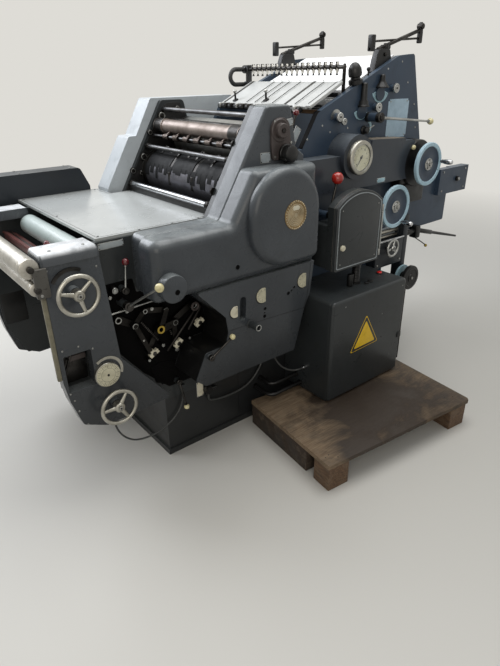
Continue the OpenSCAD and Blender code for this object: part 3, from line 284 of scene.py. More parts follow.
def enamel(name, slot, base, shade, top_light_dust_colour, gloss=0.3, dirt=0.5, chips=0.62, grain=520.0, up=0.42, low_darkening=0.0,
           spec=0.3):
    """Stove enamel on cast iron and sheet: an even colour that drifts a little over a hand's
    breadth, oily smears, dust and painted top light on what faces up, small chips, a fine
    orange peel, and a colour that darkens from chest height down to the floor."""
    m, tree, s = blank(name, slot, Coat_Weight=spec * 0.4, Coat_Roughness=0.15, Specular_IOR_Level=spec)
    at = add(tree, "TexCoord").outputs["Object"]
    drift = add(tree, "TexNoise", {"Vector": at, "Scale": 3.5, "Detail": 5.0, "Roughness": 0.6}).outputs[0]
    smear = add(tree, "TexNoise", {"Vector": at, "Scale": 11.0, "Detail": 8.0, "Roughness": 0.68,
                                   "Distortion": 0.7}).outputs[0]
    chip = add(tree, "TexNoise", {"Vector": at, "Scale": 95.0, "Detail": 3.0, "Roughness": 0.5}).outputs[0]
    peel = add(tree, "TexNoise", {"Vector": at, "Scale": grain, "Detail": 2.0}).outputs[0]
    faces = add(tree, "SeparateXYZ", {0: add(tree, "NewGeometry").outputs["Normal"]}).outputs[2]
    tint = mixed(tree, spread(tree, drift, 0.35, 0.7), colour(base), colour(shade))
    dark = mixed(tree, spread(tree, smear, 0.56, 0.8, 0, dirt), tint, colour("#24231f"))
    # dust and painted top light: faces that point up are mixed towards a pale colour, which stands for dust and for the
    # light falling on them
    top = add(tree, "Math", {0: spread(tree, faces, 0.3, 1.0, 0, up),
                             1: spread(tree, smear, 0.7, 0.35, 0.35, 1.2)}, operation="MULTIPLY").outputs[0]
    dust_and_top_light = mixed(tree, top, dark, colour(top_light_dust_colour))
    bare = mixed(tree, spread(tree, chip, chips + 0.12, chips + 0.16, 0, 0.7), dust_and_top_light, colour("#2b2723"))
    # darker towards the bottom: the colour is mixed towards near black from chest height down to the floor
    if low_darkening:
        height = add(tree, "SeparateXYZ", {0: at}).outputs[2]
        bare = mixed(tree, spread(tree, height, 0.86, 0.2, 0, low_darkening), bare, colour("#161614"))
    tree.links.new(bare, s.inputs["Base Color"])
    tree.links.new(spread(tree, smear, 0.3, 0.75, gloss, gloss + 0.22), s.inputs["Roughness"])
    bump = add(tree, "Bump", {"Strength": 0.12, "Distance": 0.0006, "Height": peel})
    tree.links.new(bump.outputs[0], s.inputs["Normal"])
    return m


def metal(name, slot, bright, dull, rough=(0.16, 0.34), stain="#3a2f27", stained=0.35, axis=(1, 1, 1),
          grain=900.0):
    """A bare metal: two tones that drift, brown oil and rust where it is handled, and a fine
    turned or ground grain drawn out along one axis."""
    m, tree, s = blank(name, slot, Metallic=1.0)
    at = add(tree, "TexCoord").outputs["Object"]
    drawn = add(tree, "Mapping", {"Vector": at, "Scale": axis}).outputs[0]
    line = add(tree, "TexNoise", {"Vector": drawn, "Scale": grain, "Detail": 3.0}).outputs[0]
    drift = add(tree, "TexNoise", {"Vector": at, "Scale": 14.0, "Detail": 6.0, "Roughness": 0.62}).outputs[0]
    spots = add(tree, "TexNoise", {"Vector": at, "Scale": 60.0, "Detail": 5.0, "Roughness": 0.7}).outputs[0]
    tone = mixed(tree, spread(tree, drift, 0.35, 0.7), colour(bright), colour(dull))
    worn = mixed(tree, spread(tree, spots, 0.56, 0.74, 0, stained), tone, colour(stain))
    tree.links.new(worn, s.inputs["Base Color"])
    tree.links.new(spread(tree, add(tree, "Math", {0: line, 1: drift}, operation="ADD").outputs[0],
                          0.7, 1.35, rough[0], rough[1]), s.inputs["Roughness"])
    bump = add(tree, "Bump", {"Strength": 0.1, "Distance": 0.0003, "Height": line})
    tree.links.new(bump.outputs[0], s.inputs["Normal"])
    return m


def moulded(name, slot, base, shade, rough=(0.2, 0.4), dirt="#2a2620", dirty=0.4, coat=0.0, scale=30.0, spec=0.5):
    """A moulded or dipped plastic, lacquer or rubber: even colour, finger dirt, faint unevenness."""
    m, tree, s = blank(name, slot, Coat_Weight=coat, Specular_IOR_Level=spec)
    at = add(tree, "TexCoord").outputs["Object"]
    mottle = add(tree, "TexNoise", {"Vector": at, "Scale": scale, "Detail": 6.0, "Roughness": 0.65}).outputs[0]
    fine = add(tree, "TexNoise", {"Vector": at, "Scale": scale * 22, "Detail": 2.0}).outputs[0]
    tone = mixed(tree, spread(tree, mottle, 0.35, 0.68), colour(base), colour(shade))
    grimy = mixed(tree, spread(tree, mottle, 0.57, 0.78, 0, dirty), tone, colour(dirt))
    tree.links.new(grimy, s.inputs["Base Color"])
    tree.links.new(spread(tree, mottle, 0.3, 0.7, rough[0], rough[1]), s.inputs["Roughness"])
    bump = add(tree, "Bump", {"Strength": 0.08, "Distance": 0.0003, "Height": fine})
    tree.links.new(bump.outputs[0], s.inputs["Normal"])
    return m


# The third colour of each enamel is the pale one that its upward faces turn towards: dust and painted top light.
grey_enamel = enamel("grey_stove_enamel", "grey_enamel", "#464a4e", "#3c4044", "#a3a9a8", 0.2, 0.45, low_darkening=0.7)
# a darker copy of the grey enamel for the bed
bed_enamel = enamel("darker_bed_enamel", "grey_enamel", "#393b3d", "#2c2e2f", "#6a6d6b", 0.26, 0.6, low_darkening=0.6)
pale_enamel = enamel("silver_grey_enamel", "pale_enamel", "#b4babd", "#a5abae", "#cfd2d2", 0.3, 0.3)
dark_enamel = enamel("dark_grey_enamel", "grey_enamel", "#303334", "#282b2c", "#3d4141", 0.24, 0.5)
blue_enamel = enamel("blue_grey_enamel", "blue_enamel", "#364454", "#2e3a49", "#505c68", 0.3, 0.4)
beam_enamel = enamel("beam_blue_grey_enamel", "grey_enamel", "#373c43", "#2e3339", "#7e8488", 0.24, 0.45)
table_enamel = enamel("cream_grey_table_enamel", "table_enamel", "#aaadaa", "#9a9d9b", "#c9cbc9", 0.13,
                      0.32, 0.58, spec=0.5)
pale_blue = enamel("pale_blue_enamel", "pale_blue_enamel", "#b4d0dc", "#9cbccb", "#cbdce2", 0.26, 0.3, 0.55)
roller_green = enamel("grey_green_roller", "pale_blue_enamel", "#aebab5", "#98a6a2", "#ccd4d1", 0.24, 0.3)
tower_brown = enamel("oil_browned_enamel", "grey_enamel", "#4a4240", "#3a3331", "#6b6360", 0.35, 0.7)
navy_enamel = enamel("navy_black_enamel", "grey_enamel", "#22272c", "#1b1f24", "#42484d", 0.3, 0.4)
worn_iron = enamel("worn_grey_iron", "grey_enamel", "#54524d", "#3b3a37", "#85817a", 0.34, 0.8, 0.5)
bright_steel = metal("ground_steel", "bright_steel", "#c9cbce", "#9fa1a4", (0.14, 0.3),
                     axis=(1, 0.03, 1))
drawn_steel = metal("zinc_plated_steel", "bright_steel", "#b5b6b4", "#8a8a86", (0.25, 0.45))
satin_rail = metal("satin_aluminium_rail", "bright_steel", "#bdbab2", "#96938b", (0.34, 0.5), "#4f4a40", 0.3,
                   axis=(1, 0.03, 1))
cream_steel = metal("brown_filmed_steel", "bright_steel", "#8c827c", "#6b615a", (0.4, 0.56), "#4c4139", 0.4,
                    axis=(1, 0.03, 1))
dull_rod = metal("drawn_dark_steel", "bright_steel", "#727374", "#4c4c4d", (0.3, 0.44), "#2b2723", 0.5,
                 axis=(1, 0.03, 1))
plate_film = metal("oxidised_aluminium_plate", "bright_steel", "#77777d", "#57575c", (0.4, 0.58), "#2c2a2a", 0.5,
                   axis=(1, 0.03, 1))
oily_steel = metal("oil_blackened_steel", "oily_steel", "#4b4947", "#232221", (0.28, 0.5), "#150f0b", 0.6)
cast_aluminium = metal("cast_aluminium", "worn_aluminium", "#b9b7ae", "#8f8c82", (0.28, 0.5), "#4a4538",
                       0.45, grain=350.0)
brass = metal("rolled_brass", "bright_steel", "#a8906a", "#7d6a4c", (0.34, 0.55), "#43351f", 0.55)
black_japan = moulded("black_lacquered_iron", "oily_steel", "#121212", "#0b0b0b", (0.3, 0.55), "#211f1c",
                      0.5, 0.1, spec=0.35)
black_plastic = moulded("black_phenolic", "oily_steel", "#101010", "#161616", (0.28, 0.45), "#2a2825", 0.4, spec=0.35)
hose_rubber = moulded("black_hose_rubber", "hose_rubber", "#141414", "#1e1e1d", (0.45, 0.65), "#3d3a35", 0.5)
blanket_rubber = moulded("black_blanket_rubber", "blanket_rubber", "#0a0b0c", "#111214", (0.5, 0.7),
                         "#1e2023", 0.4, spec=0.15)
red_ball = moulded("red_phenolic", "red_lacquer", "#b5271a", "#8e1a12", (0.16, 0.3), "#2a0f0a", 0.35, 0.4)
dark_red = moulded("dark_red_phenolic", "red_lacquer", "#6e141b", "#4d0c12", (0.2, 0.35), "#1f0a0a", 0.4, 0.3)
cream_ball = moulded("cream_phenolic", "table_enamel", "#dcd3a6", "#cfc390", (0.2, 0.35), "#6d6344", 0.35, 0.3)
cream_nylon = moulded("cream_nylon", "table_enamel", "#d8d2bd", "#c6bfa6", (0.4, 0.55), "#6f685a", 0.4)
white_nylon = moulded("white_nylon", "table_enamel", "#f1eee6", "#e2ded3", (0.4, 0.55), "#a29c8f", 0.3)
dial_cream = moulded("cream_dial_face", "table_enamel", "#cdc8ae", "#b6b197", (0.4, 0.55), "#6b674c", 0.5)
dial_ink = moulded("dial_ink", "oily_steel", "#1b1a18", "#262421", (0.5, 0.6))
label_grey = moulded("anodised_label_plate", "bright_steel", "#a2a9ab", "#8d9497", (0.3, 0.45), "#5b6061", 0.35)
ink_stained = moulded("ink_stained_tray", "red_lacquer", "#70433f", "#4a2c2a", (0.25, 0.5), "#241817", 0.7,
                      0.3, 9.0)
white_board = moulded("white_laminate_board", "white_board", "#bfc0bd", "#b1b2af", (0.3, 0.42), "#8f8d86", 0.3,
                      0.1, 6.0)
tape_black = moulded("woven_feed_tape", "hose_rubber", "#2b2927", "#3a3733", (0.6, 0.75), "#5b564e", 0.4)
sign_yellow = moulded("yellow_sign_plate", "table_enamel", "#e9bf14", "#dcb10f", (0.35, 0.5), "#6b5a1a", 0.3)
sign_black = moulded("black_sign_edge", "oily_steel", "#1c1a17", "#26231f", (0.4, 0.5))
red_lamp = moulded("red_lamp_lens", "red_lacquer", "#e0251f", "#c01a16", (0.1, 0.2), "#5a0d0a", 0.2, 0.6)
# painted shade: a near black with almost no gloss, laid where holes, recesses and openings read dark
shade_black = moulded("painted_shade_black", "oily_steel", "#040404", "#080707", (0.6, 0.8), "#100d0b", 0.4, spec=0.06)
dark_iron = metal("oil_black_iron", "oily_steel", "#343230", "#191817", (0.34, 0.6), "#0c0806", 0.7)
pale_brass = metal("pale_worn_brass", "bright_steel", "#c6bba2", "#9c9078", (0.4, 0.6), "#5c4e35", 0.5)
plate_blue = moulded("pale_blue_plate", "pale_blue_enamel", "#a9bfcd", "#9bb2c0", (0.35, 0.5), "#6d7f89", 0.25)
gauge_cream = moulded("gauge_face", "table_enamel", "#fffaea", "#f8f1da", (0.4, 0.55), "#c3b994", 0.3)
dull_strip = moulded("dull_bronze_strip", "bright_steel", "#7c7763", "#5d5949", (0.4, 0.6), "#33302a", 0.5)
yellow_ring = moulded("yellow_felt_ring", "table_enamel", "#b59a3c", "#8f7626", (0.6, 0.8), "#3a301a", 0.6)


def wood(name, pale, deep, wet, along, pool=(0.0, 0.0, 0.0), wide=0.05):
    """Weathered softwood and ply: grain 5 mm wide drawn out along one axis, grey where it is dry
    and nearly black brown where oil has soaked in, most of all round the spot pool."""
    m, tree, s = blank(name, "brown_wood")
    at = add(tree, "TexCoord").outputs["Object"]
    drawn = add(tree, "Mapping", {"Vector": at, "Scale": along}).outputs[0]
    fibre = add(tree, "TexNoise", {"Vector": drawn, "Scale": 190.0, "Detail": 6.0, "Roughness": 0.6,
                                   "Distortion": 0.4}).outputs[0]
    soak = add(tree, "TexNoise", {"Vector": at, "Scale": 4.2, "Detail": 7.0, "Roughness": 0.62,
                                  "Distortion": 0.5}).outputs[0]
    scuff = add(tree, "TexNoise", {"Vector": at, "Scale": 22.0, "Detail": 8.0, "Roughness": 0.7}).outputs[0]
    grain = mixed(tree, spread(tree, fibre, 0.32, 0.68), colour(deep), colour(pale))
    dry = mixed(tree, spread(tree, scuff, 0.5, 0.75, 0, 0.6), grain, colour("#786b59"))
    far_off = add(tree, "VectorMath", {0: at, 1: pool}, operation="DISTANCE").outputs["Value"]
    near = add(tree, "Math", {0: spread(tree, far_off, wide, wide * 0.35, 0, 0.24), 1: soak}, operation="ADD")
    dark = mixed(tree, spread(tree, near.outputs[0], 0.5, 0.7, 0, 0.92), dry, colour(wet))
    tree.links.new(dark, s.inputs["Base Color"])
    tree.links.new(spread(tree, soak, 0.4, 0.62, 0.85, 0.55), s.inputs["Roughness"])
    bump = add(tree, "Bump", {"Strength": 0.5, "Distance": 0.0012, "Height": fibre})
    tree.links.new(bump.outputs[0], s.inputs["Normal"])
    return m


def paper(name):
    """A stack of coated sheets: near white, each sheet's edge a faint grey line across the sides."""
    m, tree, s = blank(name, "white_board", Roughness=0.6)
    at = add(tree, "TexCoord").outputs["Object"]
    drawn = add(tree, "Mapping", {"Vector": at, "Scale": (0.05, 0.05, 1.0)}).outputs[0]
    sheets = add(tree, "TexNoise", {"Vector": drawn, "Scale": 900.0, "Detail": 2.0}).outputs[0]
    up = add(tree, "SeparateXYZ", {0: add(tree, "NewGeometry").outputs["Normal"]}).outputs[2]
    side = add(tree, "Math", {0: spread(tree, up, 0.7, 0.3), 1: spread(tree, sheets, 0.45, 0.62, 0, 0.5)},
               operation="MULTIPLY").outputs[0]
    tree.links.new(mixed(tree, side, colour("#eeeeec"), colour("#8f9090")), s.inputs["Base Color"])
    bump = add(tree, "Bump", {"Strength": 0.2, "Distance": 0.0004, "Height": sheets})
    tree.links.new(bump.outputs[0], s.inputs["Normal"])
    return m


deck_wood = wood("oil_soaked_ply", "#8b7860", "#624f3b", "#1f150d", (0.06, 1, 1), (0.17, -0.93, 0.13), 0.6)
# painted shade: a near black copy of the runner wood for the runners that lie in shade
shaded_runner_wood = wood("painted_shade_runner_wood", "#3a2d22", "#241a13", "#130e0a", (1, 0.06, 1))
runner_wood = wood("sawn_softwood", "#6d543c", "#3f2d20", "#221813", (1, 0.06, 1))
pile_wood = wood("pile_board_wood", "#8a6a48", "#5b412b", "#3b2a1d", (1, 0.06, 1))
paper_white = paper("coated_paper")
lead_grey = moulded("grey_lead_sheath", "hose_rubber", "#3b3c3b", "#2f302f", (0.35, 0.5), "#1e1d1b", 0.5)
tan_dust = moulded("tan_dusty_iron", "blue_enamel", "#8b8173", "#6d655a", (0.6, 0.8), "#3b3732", 0.5, 0.0, 12.0)
scale_blue = moulded("pale_blue_scale", "pale_blue_enamel", "#a9c9d2", "#8fb0ba", (0.35, 0.5), "#3f4a4e", 0.45)
gauge_glass, glass_tree, glass_shader = blank("gauge_glass", "bright_steel", Roughness=0.05, IOR=1.5,
                                              Transmission_Weight=1.0, Base_Color=colour("#f2f4ee"))

FINISH_OF = {
    "bed": bed_enamel, "side_frame_operator": dark_enamel, "side_frame_drive": dark_enamel,
    "cross_members": black_japan, "tower_casting": grey_enamel, "tower_drive_unit": tower_brown,
    "operator_casting": grey_enamel, "casting_boss": grey_enamel, "lower_cover": grey_enamel,
    "gear_cover": grey_enamel, "gauge_beam": beam_enamel, "control_box": dark_enamel,
    "control_box_door": dark_enamel, "delivery_plate_operator": grey_enamel,
    "delivery_plate_drive": grey_enamel, "end_rails": bright_steel, "table_panel": table_enamel,
    "ink_tray": ink_stained, "linkage": oily_steel, "feed_board": white_board,
    "feeder_plate_operator": blue_enamel, "feeder_plate_drive": blue_enamel, "sucker_bar": oily_steel,
    "pile_board": pile_wood, "pile_drive": bright_steel, "drive_cover": pale_enamel,
    "ink_cover_drive": navy_enamel, "lower_pipes": black_japan, "cabinet_body": dark_enamel,
    "cabinet_door": dark_enamel, "pallet": deck_wood, "cross_rods": dull_rod,
    "ring_bar": bright_steel, "pile_guides": oily_steel, "paper_pile": paper_white,
    "suction_hose": hose_rubber, "steel_roller": bright_steel, "blanket_cylinder": oily_steel,
    "plate_cylinder": oily_steel, "ink_roller": pale_blue, "pressure_gauge": drawn_steel,
}
for n, o in nodes.items():
    o.data.materials.clear()
    o.data.materials.append(FINISH_OF.get(n, oily_steel))


# leads that hang between their glands
def eased(points, parts):
    """Points on a smooth curve through the route: cubic pieces with shared slopes, parts to a stretch."""
    p = np.array(points, float)
    m = np.gradient(p, axis=0)
    t = np.linspace(0, 1, parts, endpoint=False)[None, :, None]
    a, b, u, v = p[:-1, None], p[1:, None], m[:-1, None], m[1:, None]
    q = (a * (2 * t**3 - 3 * t**2 + 1) + u * (t**3 - 2 * t**2 + t) + b * (3 * t**2 - 2 * t**3)
         + v * (t**3 - t**2))
    return np.concatenate([q.reshape(-1, 3), p[-1:]])


def lead(name, node, r, route):
    """Sheathed lead of radius r along a route from the gland that it leaves to the one that it enters."""
    way = eased(route, 6)
    o = piece(name, [(lead_grey, tube(way, r, 16, (0, 1, 0.01)))], node)


lead("socket_lead_sheath", "socket_lead", 5,
     [(-500, -383, 236), (-500, -383, 218), (-490, -383, 202), (-455, -383, 192), (-400, -383, 186),
      (-340, -383, 186), (-285, -383, 196), (-240, -383, 220), (-205, -383, 256), (-178, -383, 300),
      (-158, -383, 345), (-148, -383, 372), (-148, -383, 390)])
lead("foot_lead_sheath", "foot_lead", 4,
     [(-630, -381, 322), (-630, -381, 296), (-636, -381, 262), (-650, -381, 230), (-672, -381, 202),
      (-702, -381, 179), (-740, -382, 163), (-790, -384, 154), (-840, -387, 158), (-885, -390, 174),
      (-920, -393, 203), (-944, -394, 238), (-957, -395, 274), (-960, -395, 296), (-960, -395, 312)])
lead("cabinet_lead_sheath", "cabinet_lead", 4.5,
     [(-165, -450, 390), (-165, -450, 372), (-161, -453, 342), (-149, -460, 311), (-129, -472, 283),
      (-103, -487, 264), (-78, -500, 257), (-57, -509, 257), (-40, -512, 258)])

# castings
INNER_Y, OUTER_Y, TOWER_Y, CASTING_Y = 345, 370, 450, 550
GEAR_Y, DELIVERY_Y, BEAM_Y, LOWER_Y = 592, 420, 450, 540
LEAN = math.tan(math.radians(31.5))


def slant(z):
    """Where the towers' leaning front edge is at height z."""
    return -205 - (1440 - z) * LEAN


tower_shape = [[-786, 810, 20], [-10, 810, 6], [-10, 1040, 1], [-0.3, 1050, 1], [-0.3, 1245, 6],
               [-47, 1278, 12], [-80, 1440, 22], [-205, 1440, 26], [slant(1040), 1040, 30],
               [-786, 1040, 30]]
shoulder_shape = [[-800, 810, 24], [-10, 810, 8], [-10, 1225, 20], [slant(1225), 1225, 34],
                  [slant(1040), 1040, 34], [-800, 1040, 40]]
piece("tower_casting_form", [(grey_enamel, place(slab(tower_shape, OUTER_Y, TOWER_Y, 12, 0, 10, 6),
                                                  (0, 0, 0)))], "tower_casting")
piece("operator_casting_form", [(grey_enamel, place(slab(shoulder_shape, TOWER_Y, CASTING_Y, 42, 0, 14, 10),
                                                     (0, 0, 0)))], "operator_casting")
gear_shape = [[-387, 840, 178], [-27, 840, 40], [-27, 1232, 178], [-387, 1232, 178]]
piece("gear_cover_form", [(grey_enamel, place(slab(gear_shape, CASTING_Y, GEAR_Y, 34, 0, 20, 10),
                                               (0, 0, 0)))], "gear_cover")
piece("casting_boss_form", [(grey_enamel, place(turned([[0, 0], [52, 0], [52, 34], [50, 38], [46, 40],
                                                         [0, 40]]), (-745, -CASTING_Y, 875))),
                            # painted shade: a black disc on the boss face stands for its hole
                            (shade_black, place(bead(10, 0, 40.8, 0.5), (-737, -CASTING_Y, 863)))],
      "casting_boss")

# wheels and levers
def spokes(count, start, r0, r1, wide, thick):
    """Tapered oval spokes from radius r0 to r1, spread evenly from the start angle."""
    t = np.linspace(0, 2 * np.pi, 14, endpoint=False)
    s = np.linspace(0, 1, 5)
    w = (wide * (1 - 0.35 * s))[:, None]
    rings = np.stack([np.repeat((r0 + (r1 - r0) * s)[:, None], 14, 1), w * np.cos(t),
                      np.broadcast_to(thick * np.sin(t), (5, 14))], -1)
    found = []
    for k in range(count):
        a = math.radians(start + 360 * k / count)
        turn = np.array([[math.cos(a), math.sin(a), 0], [-math.sin(a), math.cos(a), 0], [0, 0, 1]])
        found.append(skin(rings @ turn))
    return join(found)


def nut(size, c0, c1, turned_by=0.0):
    """A hexagon nut with chamfered edges, as wide across its corners as twice size."""
    t = math.radians(turned_by) + np.arange(6) * np.pi / 3
    corners = np.stack([size * np.cos(t), size * np.sin(t), np.full(6, size * 0.06)], -1)
    return slab(corners, c0, c1, size * 0.09, size * 0.05, 2, 2)


def hand_wheel(name, node, at, rim_r, rim_bar, hub_r, start, finish):
    """Cast handwheel: oval rim, three spokes and a hub with a nut."""
    hub = turned([[0, -22], [hub_r, -22], [hub_r, 6], [hub_r - 3, 10], [hub_r - 7, 11], [hub_r - 8, 8],
                  [0, 8]], 48)
    parts = [(finish, ring(rim_r - rim_bar, 0, rim_bar, rim_bar * 0.92, 96, 24)), (finish, hub),
             (finish, spokes(3, start, hub_r * 0.7, rim_r - rim_bar * 1.6, hub_r * 0.46, hub_r * 0.28)),
             (drawn_steel, nut(hub_r * 0.42, 8, 14, 12)), (oily_steel, bead(hub_r * 0.2, 8, 16, 0.6, 20))]
    piece(name, [(m, place(p, at)) for m, p in parts], node)


hand_wheel("delivery_wheel_upper_cast", "delivery_wheel_upper", (-1045, -475, 897), 76, 8, 20, 42,
           cast_aluminium)
hand_wheel("delivery_wheel_lower_cast", "delivery_wheel_lower", (-963, -475, 418), 76, 8, 20, -62,
           cast_aluminium)
hand_wheel("small_wheel_cast", "small_wheel", (653, -466, 712), 50, 7, 16, 75, drawn_steel)


def crank_wheel(name, node, at, handle_turn):
    """Dished wheel with a flat painted rim, a dark web, a stepped hub and a turned crank handle."""
    rim = turned([[86, -9], [103, -9], [105, -7], [105, 7], [103, 9], [88, 9], [86, 7], [84, 0], [86, -9]], 96)
    dish = turned([[0, -3], [86, -4], [86, 5], [80, 2], [60, -1], [34, 0], [30, 3], [0, 3]], 96)
    hub = turned([[30, 0], [30, 6], [28, 8], [19, 9], [18, 12], [15, 13], [0, 13]], 48)
    back = turned([[0, -23], [24, -23], [24, -3], [0, -3]], 48)
    a = math.radians(handle_turn)
    grip = turned([[0, 2], [6, 2], [6, 16], [10, 18], [9, 23], [12, 36], [13.5, 52], [13, 66], [10, 75],
                   [5, 79.4], [0, 80]], 32)
    grip = (grip[0] + (95.5 * math.cos(a), 95.5 * math.sin(a), 0), grip[1])
    bolt_at = [(22 * math.cos(b), 22 * math.sin(b)) for b in np.radians([20, 92, 164, 236, 308])]
    bolts = join([(bead(2.6, 7, 10.5, 0.6, 12)[0] + (u, v, 0), bead(2.6, 7, 10.5, 0.6, 12)[1])
                  for u, v in bolt_at])
    parts = [(pale_blue, rim), (blue_enamel, dish), (drawn_steel, hub), (blue_enamel, back),
             (oily_steel, bolts), (drawn_steel, nut(9, 13, 19, 8)), (bright_steel, grip)]
    piece(name, [(m, place(p, at)) for m, p in parts], node)


crank_wheel("feeder_wheel_upper_dished", "feeder_wheel_upper", (822, -500, 1125), 4)
crank_wheel("feeder_wheel_lower_dished", "feeder_wheel_lower", (589, -500, 946), -60)


def ball_lever(name, node, pivot, tip, hub_r, hub_len, arm_r, ball_r, ball_finish, arm_finish=drawn_steel):
    """Lever: turned hub with a nut, an arm that thins towards its ball, and the ball on a ferrule."""
    pivot, tip = np.array(pivot, float), np.array(tip, float)
    h = hub_len / 2
    hub = place(turned([[0, -h], [hub_r, -h], [hub_r, h - 2], [hub_r - 2, h], [0, h]], 40), pivot)
    d = tip - pivot
    s = np.array([0, 0.1, 0.5, 0.86, 1.0])
    arm = tube(pivot + s[:, None] * d, arm_r * np.array([1.15, 1.1, 0.95, 0.8, 0.8]), 14, (0, 1, 0.1))
    ferrule = tube(tip - unit(d) * np.array([[ball_r + 5], [ball_r + 4], [ball_r * 0.6]]),
                   [arm_r * 0.9, arm_r * 1.35, arm_r * 1.35], 14, (0, 1, 0.1))
    parts = [(oily_steel, hub), (oily_steel, place(nut(hub_r * 0.62, h, h + 4, 20), pivot)),
             (arm_finish, arm), (arm_finish, ferrule), (ball_finish, place(ball(ball_r), tip))]
    piece(name, parts, node)


ball_lever("main_lever_red_ball", "main_lever", (104, -512, 985), (142, -512, 1139), 16, 16, 6, 26, red_ball,
           oily_steel)
ball_lever("feeder_lever_cream_ball", "feeder_lever", (478, -445, 1360), (878, -445, 1321), 22, 22, 6, 16,
           cream_ball)
ball_lever("delivery_lever_cream_ball", "delivery_lever", (-860, -440, 795), (-820, -615, 909), 18, 24, 5, 16,
           cream_ball)
ball_lever("red_ball_lever_arm", "red_ball_lever", (-850, -410, 845), (-837, -410, 952), 14, 14, 4, 13, dark_red)
ball_lever("tower_lever_dark_red_ball", "tower_lever", (-28, -392, 1310), (0, -392, 1403), 13, 14, 5, 13,
           dark_red, oily_steel)
ball_lever("cover_lever_cream_ball", "cover_lever", (-585, -556, 530), (-490, -570, 600), 13, 14, 5, 12,
           cream_ball, oily_steel)
ball_lever("foot_lever_cream_ball", "foot_lever", (-655, -400, 372), (-640, -420, 250), 13, 14, 5, 12,
           cream_ball, oily_steel)
knob = [(black_plastic, turned([[0, -12], [66, -12], [68, -10], [68, 6], [65, 9], [50, 11], [46, 8], [26, 8],
                                [24, 12], [0, 12]], 96)),
        (black_plastic, turned([[0, 8], [14, 8], [14, 13], [0, 13]], 32)), (drawn_steel, nut(8, 12, 17))]
piece("adjusting_knob_disc", [(m, place(p, (792, -500, 523))) for m, p in knob], "adjusting_knob")

# small fittings
def screw(x, y, z, r=4.0, high=2.2, axes=FRONT, finish=None):
    """Slotted cheese-head screw, its slot cut as a dark bar across the head."""
    head = bead(r, 0, high, min(0.5, high / 3), 20)
    slot = block((-r * 0.86, -r * 0.11, high - 0.2), (r * 0.86, r * 0.11, high + 0.12), 0.05)
    return [(finish or drawn_steel, place(head, (x, y, z), axes)),
            (oily_steel, place(slot, (x, y, z), axes))]


def seam(name, points, y, width=1.8, high=0.5, axes=FRONT, finish=None):
    """Joint line between two sheets: a thin dark strip along a path on a face."""
    p = np.array(points, float)
    d = unit(np.gradient(p, axis=0))
    side = np.stack([-d[:, 1], d[:, 0]], -1) * width / 2
    rings = np.stack([np.insert(p - side, 2, 0, 1), np.insert(p + side, 2, 0, 1),
                      np.insert(p + side, 2, high, 1), np.insert(p - side, 2, high, 1)], 1)
    piece(name, [(finish or black_japan, place(skin(rings), (0, y, 0), axes))])


def label(name, at, size, turned_by=0.0, axes=FRONT, finish=None, thick=1.2):
    """Blank metal plate with rounded corners and a screw in each of them."""
    w, h = size[0] / 2, size[1] / 2
    t = math.radians(turned_by)
    a, b = np.array(axes[0], float), np.array(axes[1], float)
    frame_axes = (math.cos(t) * a + math.sin(t) * b, -math.sin(t) * a + math.cos(t) * b)
    plate = slab([[-w, -h, 3], [w, -h, 3], [w, h, 3], [-w, h, 3]], 0, thick, 0.4)
    rim = [slab([[-w + 2, -h + 2, 2], [w - 2, -h + 2, 2], [w - 2, h - 2, 2], [-w + 2, h - 2, 2]],
                thick - 0.1, thick + 0.2, 0.1)]
    parts = [(drawn_steel, place(plate, at, frame_axes)), (finish or label_grey, place(rim[0], at, frame_axes))]
    r = min(2.4, size[1] * 0.09)
    for u in (-1, 1):
        for v in (-1, 1):
            spot = np.array(at, float) + u * (w - 2 * r) * frame_axes[0] + v * (h - 2 * r) * frame_axes[1]
            parts.append((oily_steel, place(bead(r, thick, thick + 0.8, 0.3, 12), spot, frame_axes)))
    piece(name, parts)


def shaft_end(x, y, z, r, long, axes=FRONT, finish=None, bore=0.35):
    """End of a shaft in its boss: a chamfered boss, a washer and a dark centre hole."""
    return [(finish or dark_iron, place(turned([[0, 0], [r, 0], [r, long * 0.8], [r * 0.88, long],
                                                 [r * bore, long], [r * bore * 0.8, long * 0.7],
                                                 [0, long * 0.7]], 36), (x, y, z), axes)),
            (drawn_steel, place(ring(r * 0.66, long, r * 0.13, r * 0.07, 32, 8), (x, y, z), axes))]


def coil_spring(a, b, r, wire, turns, sides=6):
    """Helix of a fine wire between two points."""
    a, b = np.array(a, float), np.array(b, float)
    d = unit(b - a)
    u = unit(np.cross(d, (0, 1, 0.3)))
    v = np.cross(d, u)
    s = np.linspace(0, 1, turns * 10)[:, None]
    return tube(a + s * (b - a) + r * (u * np.cos(s * turns * 2 * np.pi) + v * np.sin(s * turns * 2 * np.pi)),
                wire, sides, d)


def ticks(count, first, sweep, r0, r1, wide, c, long_every=5, longer=1.6):
    """Dial marks: short bars between two radii, each long_every-th one longer."""
    made = []
    for k in range(count + 1):
        a = math.radians(first + sweep * k / count)
        inner = r1 - (r1 - r0) * (longer if k % long_every == 0 else 1)
        w = wide * (1.5 if k % long_every == 0 else 1)
        bit = block((inner, -w / 2, c), (r1, w / 2, c + 0.25), 0.05)
        made.append((bit[0] @ np.array([[math.cos(a), math.sin(a), 0], [-math.sin(a), math.cos(a), 0],
                                        [0, 0, 1]]), bit[1]))
    return join(made)


def numeral(text, size, at, c):
    """A number for a dial, as flat raised strokes centred on a spot."""
    curve = bpy.data.curves.new("numeral", "FONT")
    curve.body, curve.size, curve.extrude, curve.resolution_u = text, size, 0.12, 3
    curve.align_x, curve.align_y = "CENTER", "CENTER"
    o = bpy.data.objects.new("numeral", curve)
    mesh = o.to_mesh()
    pts = np.array([v.co for v in mesh.vertices], float)
    faces = [list(f.vertices) for f in mesh.polygons]
    o.to_mesh_clear()
    bpy.data.objects.remove(o)
    bpy.data.curves.remove(curve)
    return pts + (at[0], at[1], c), faces


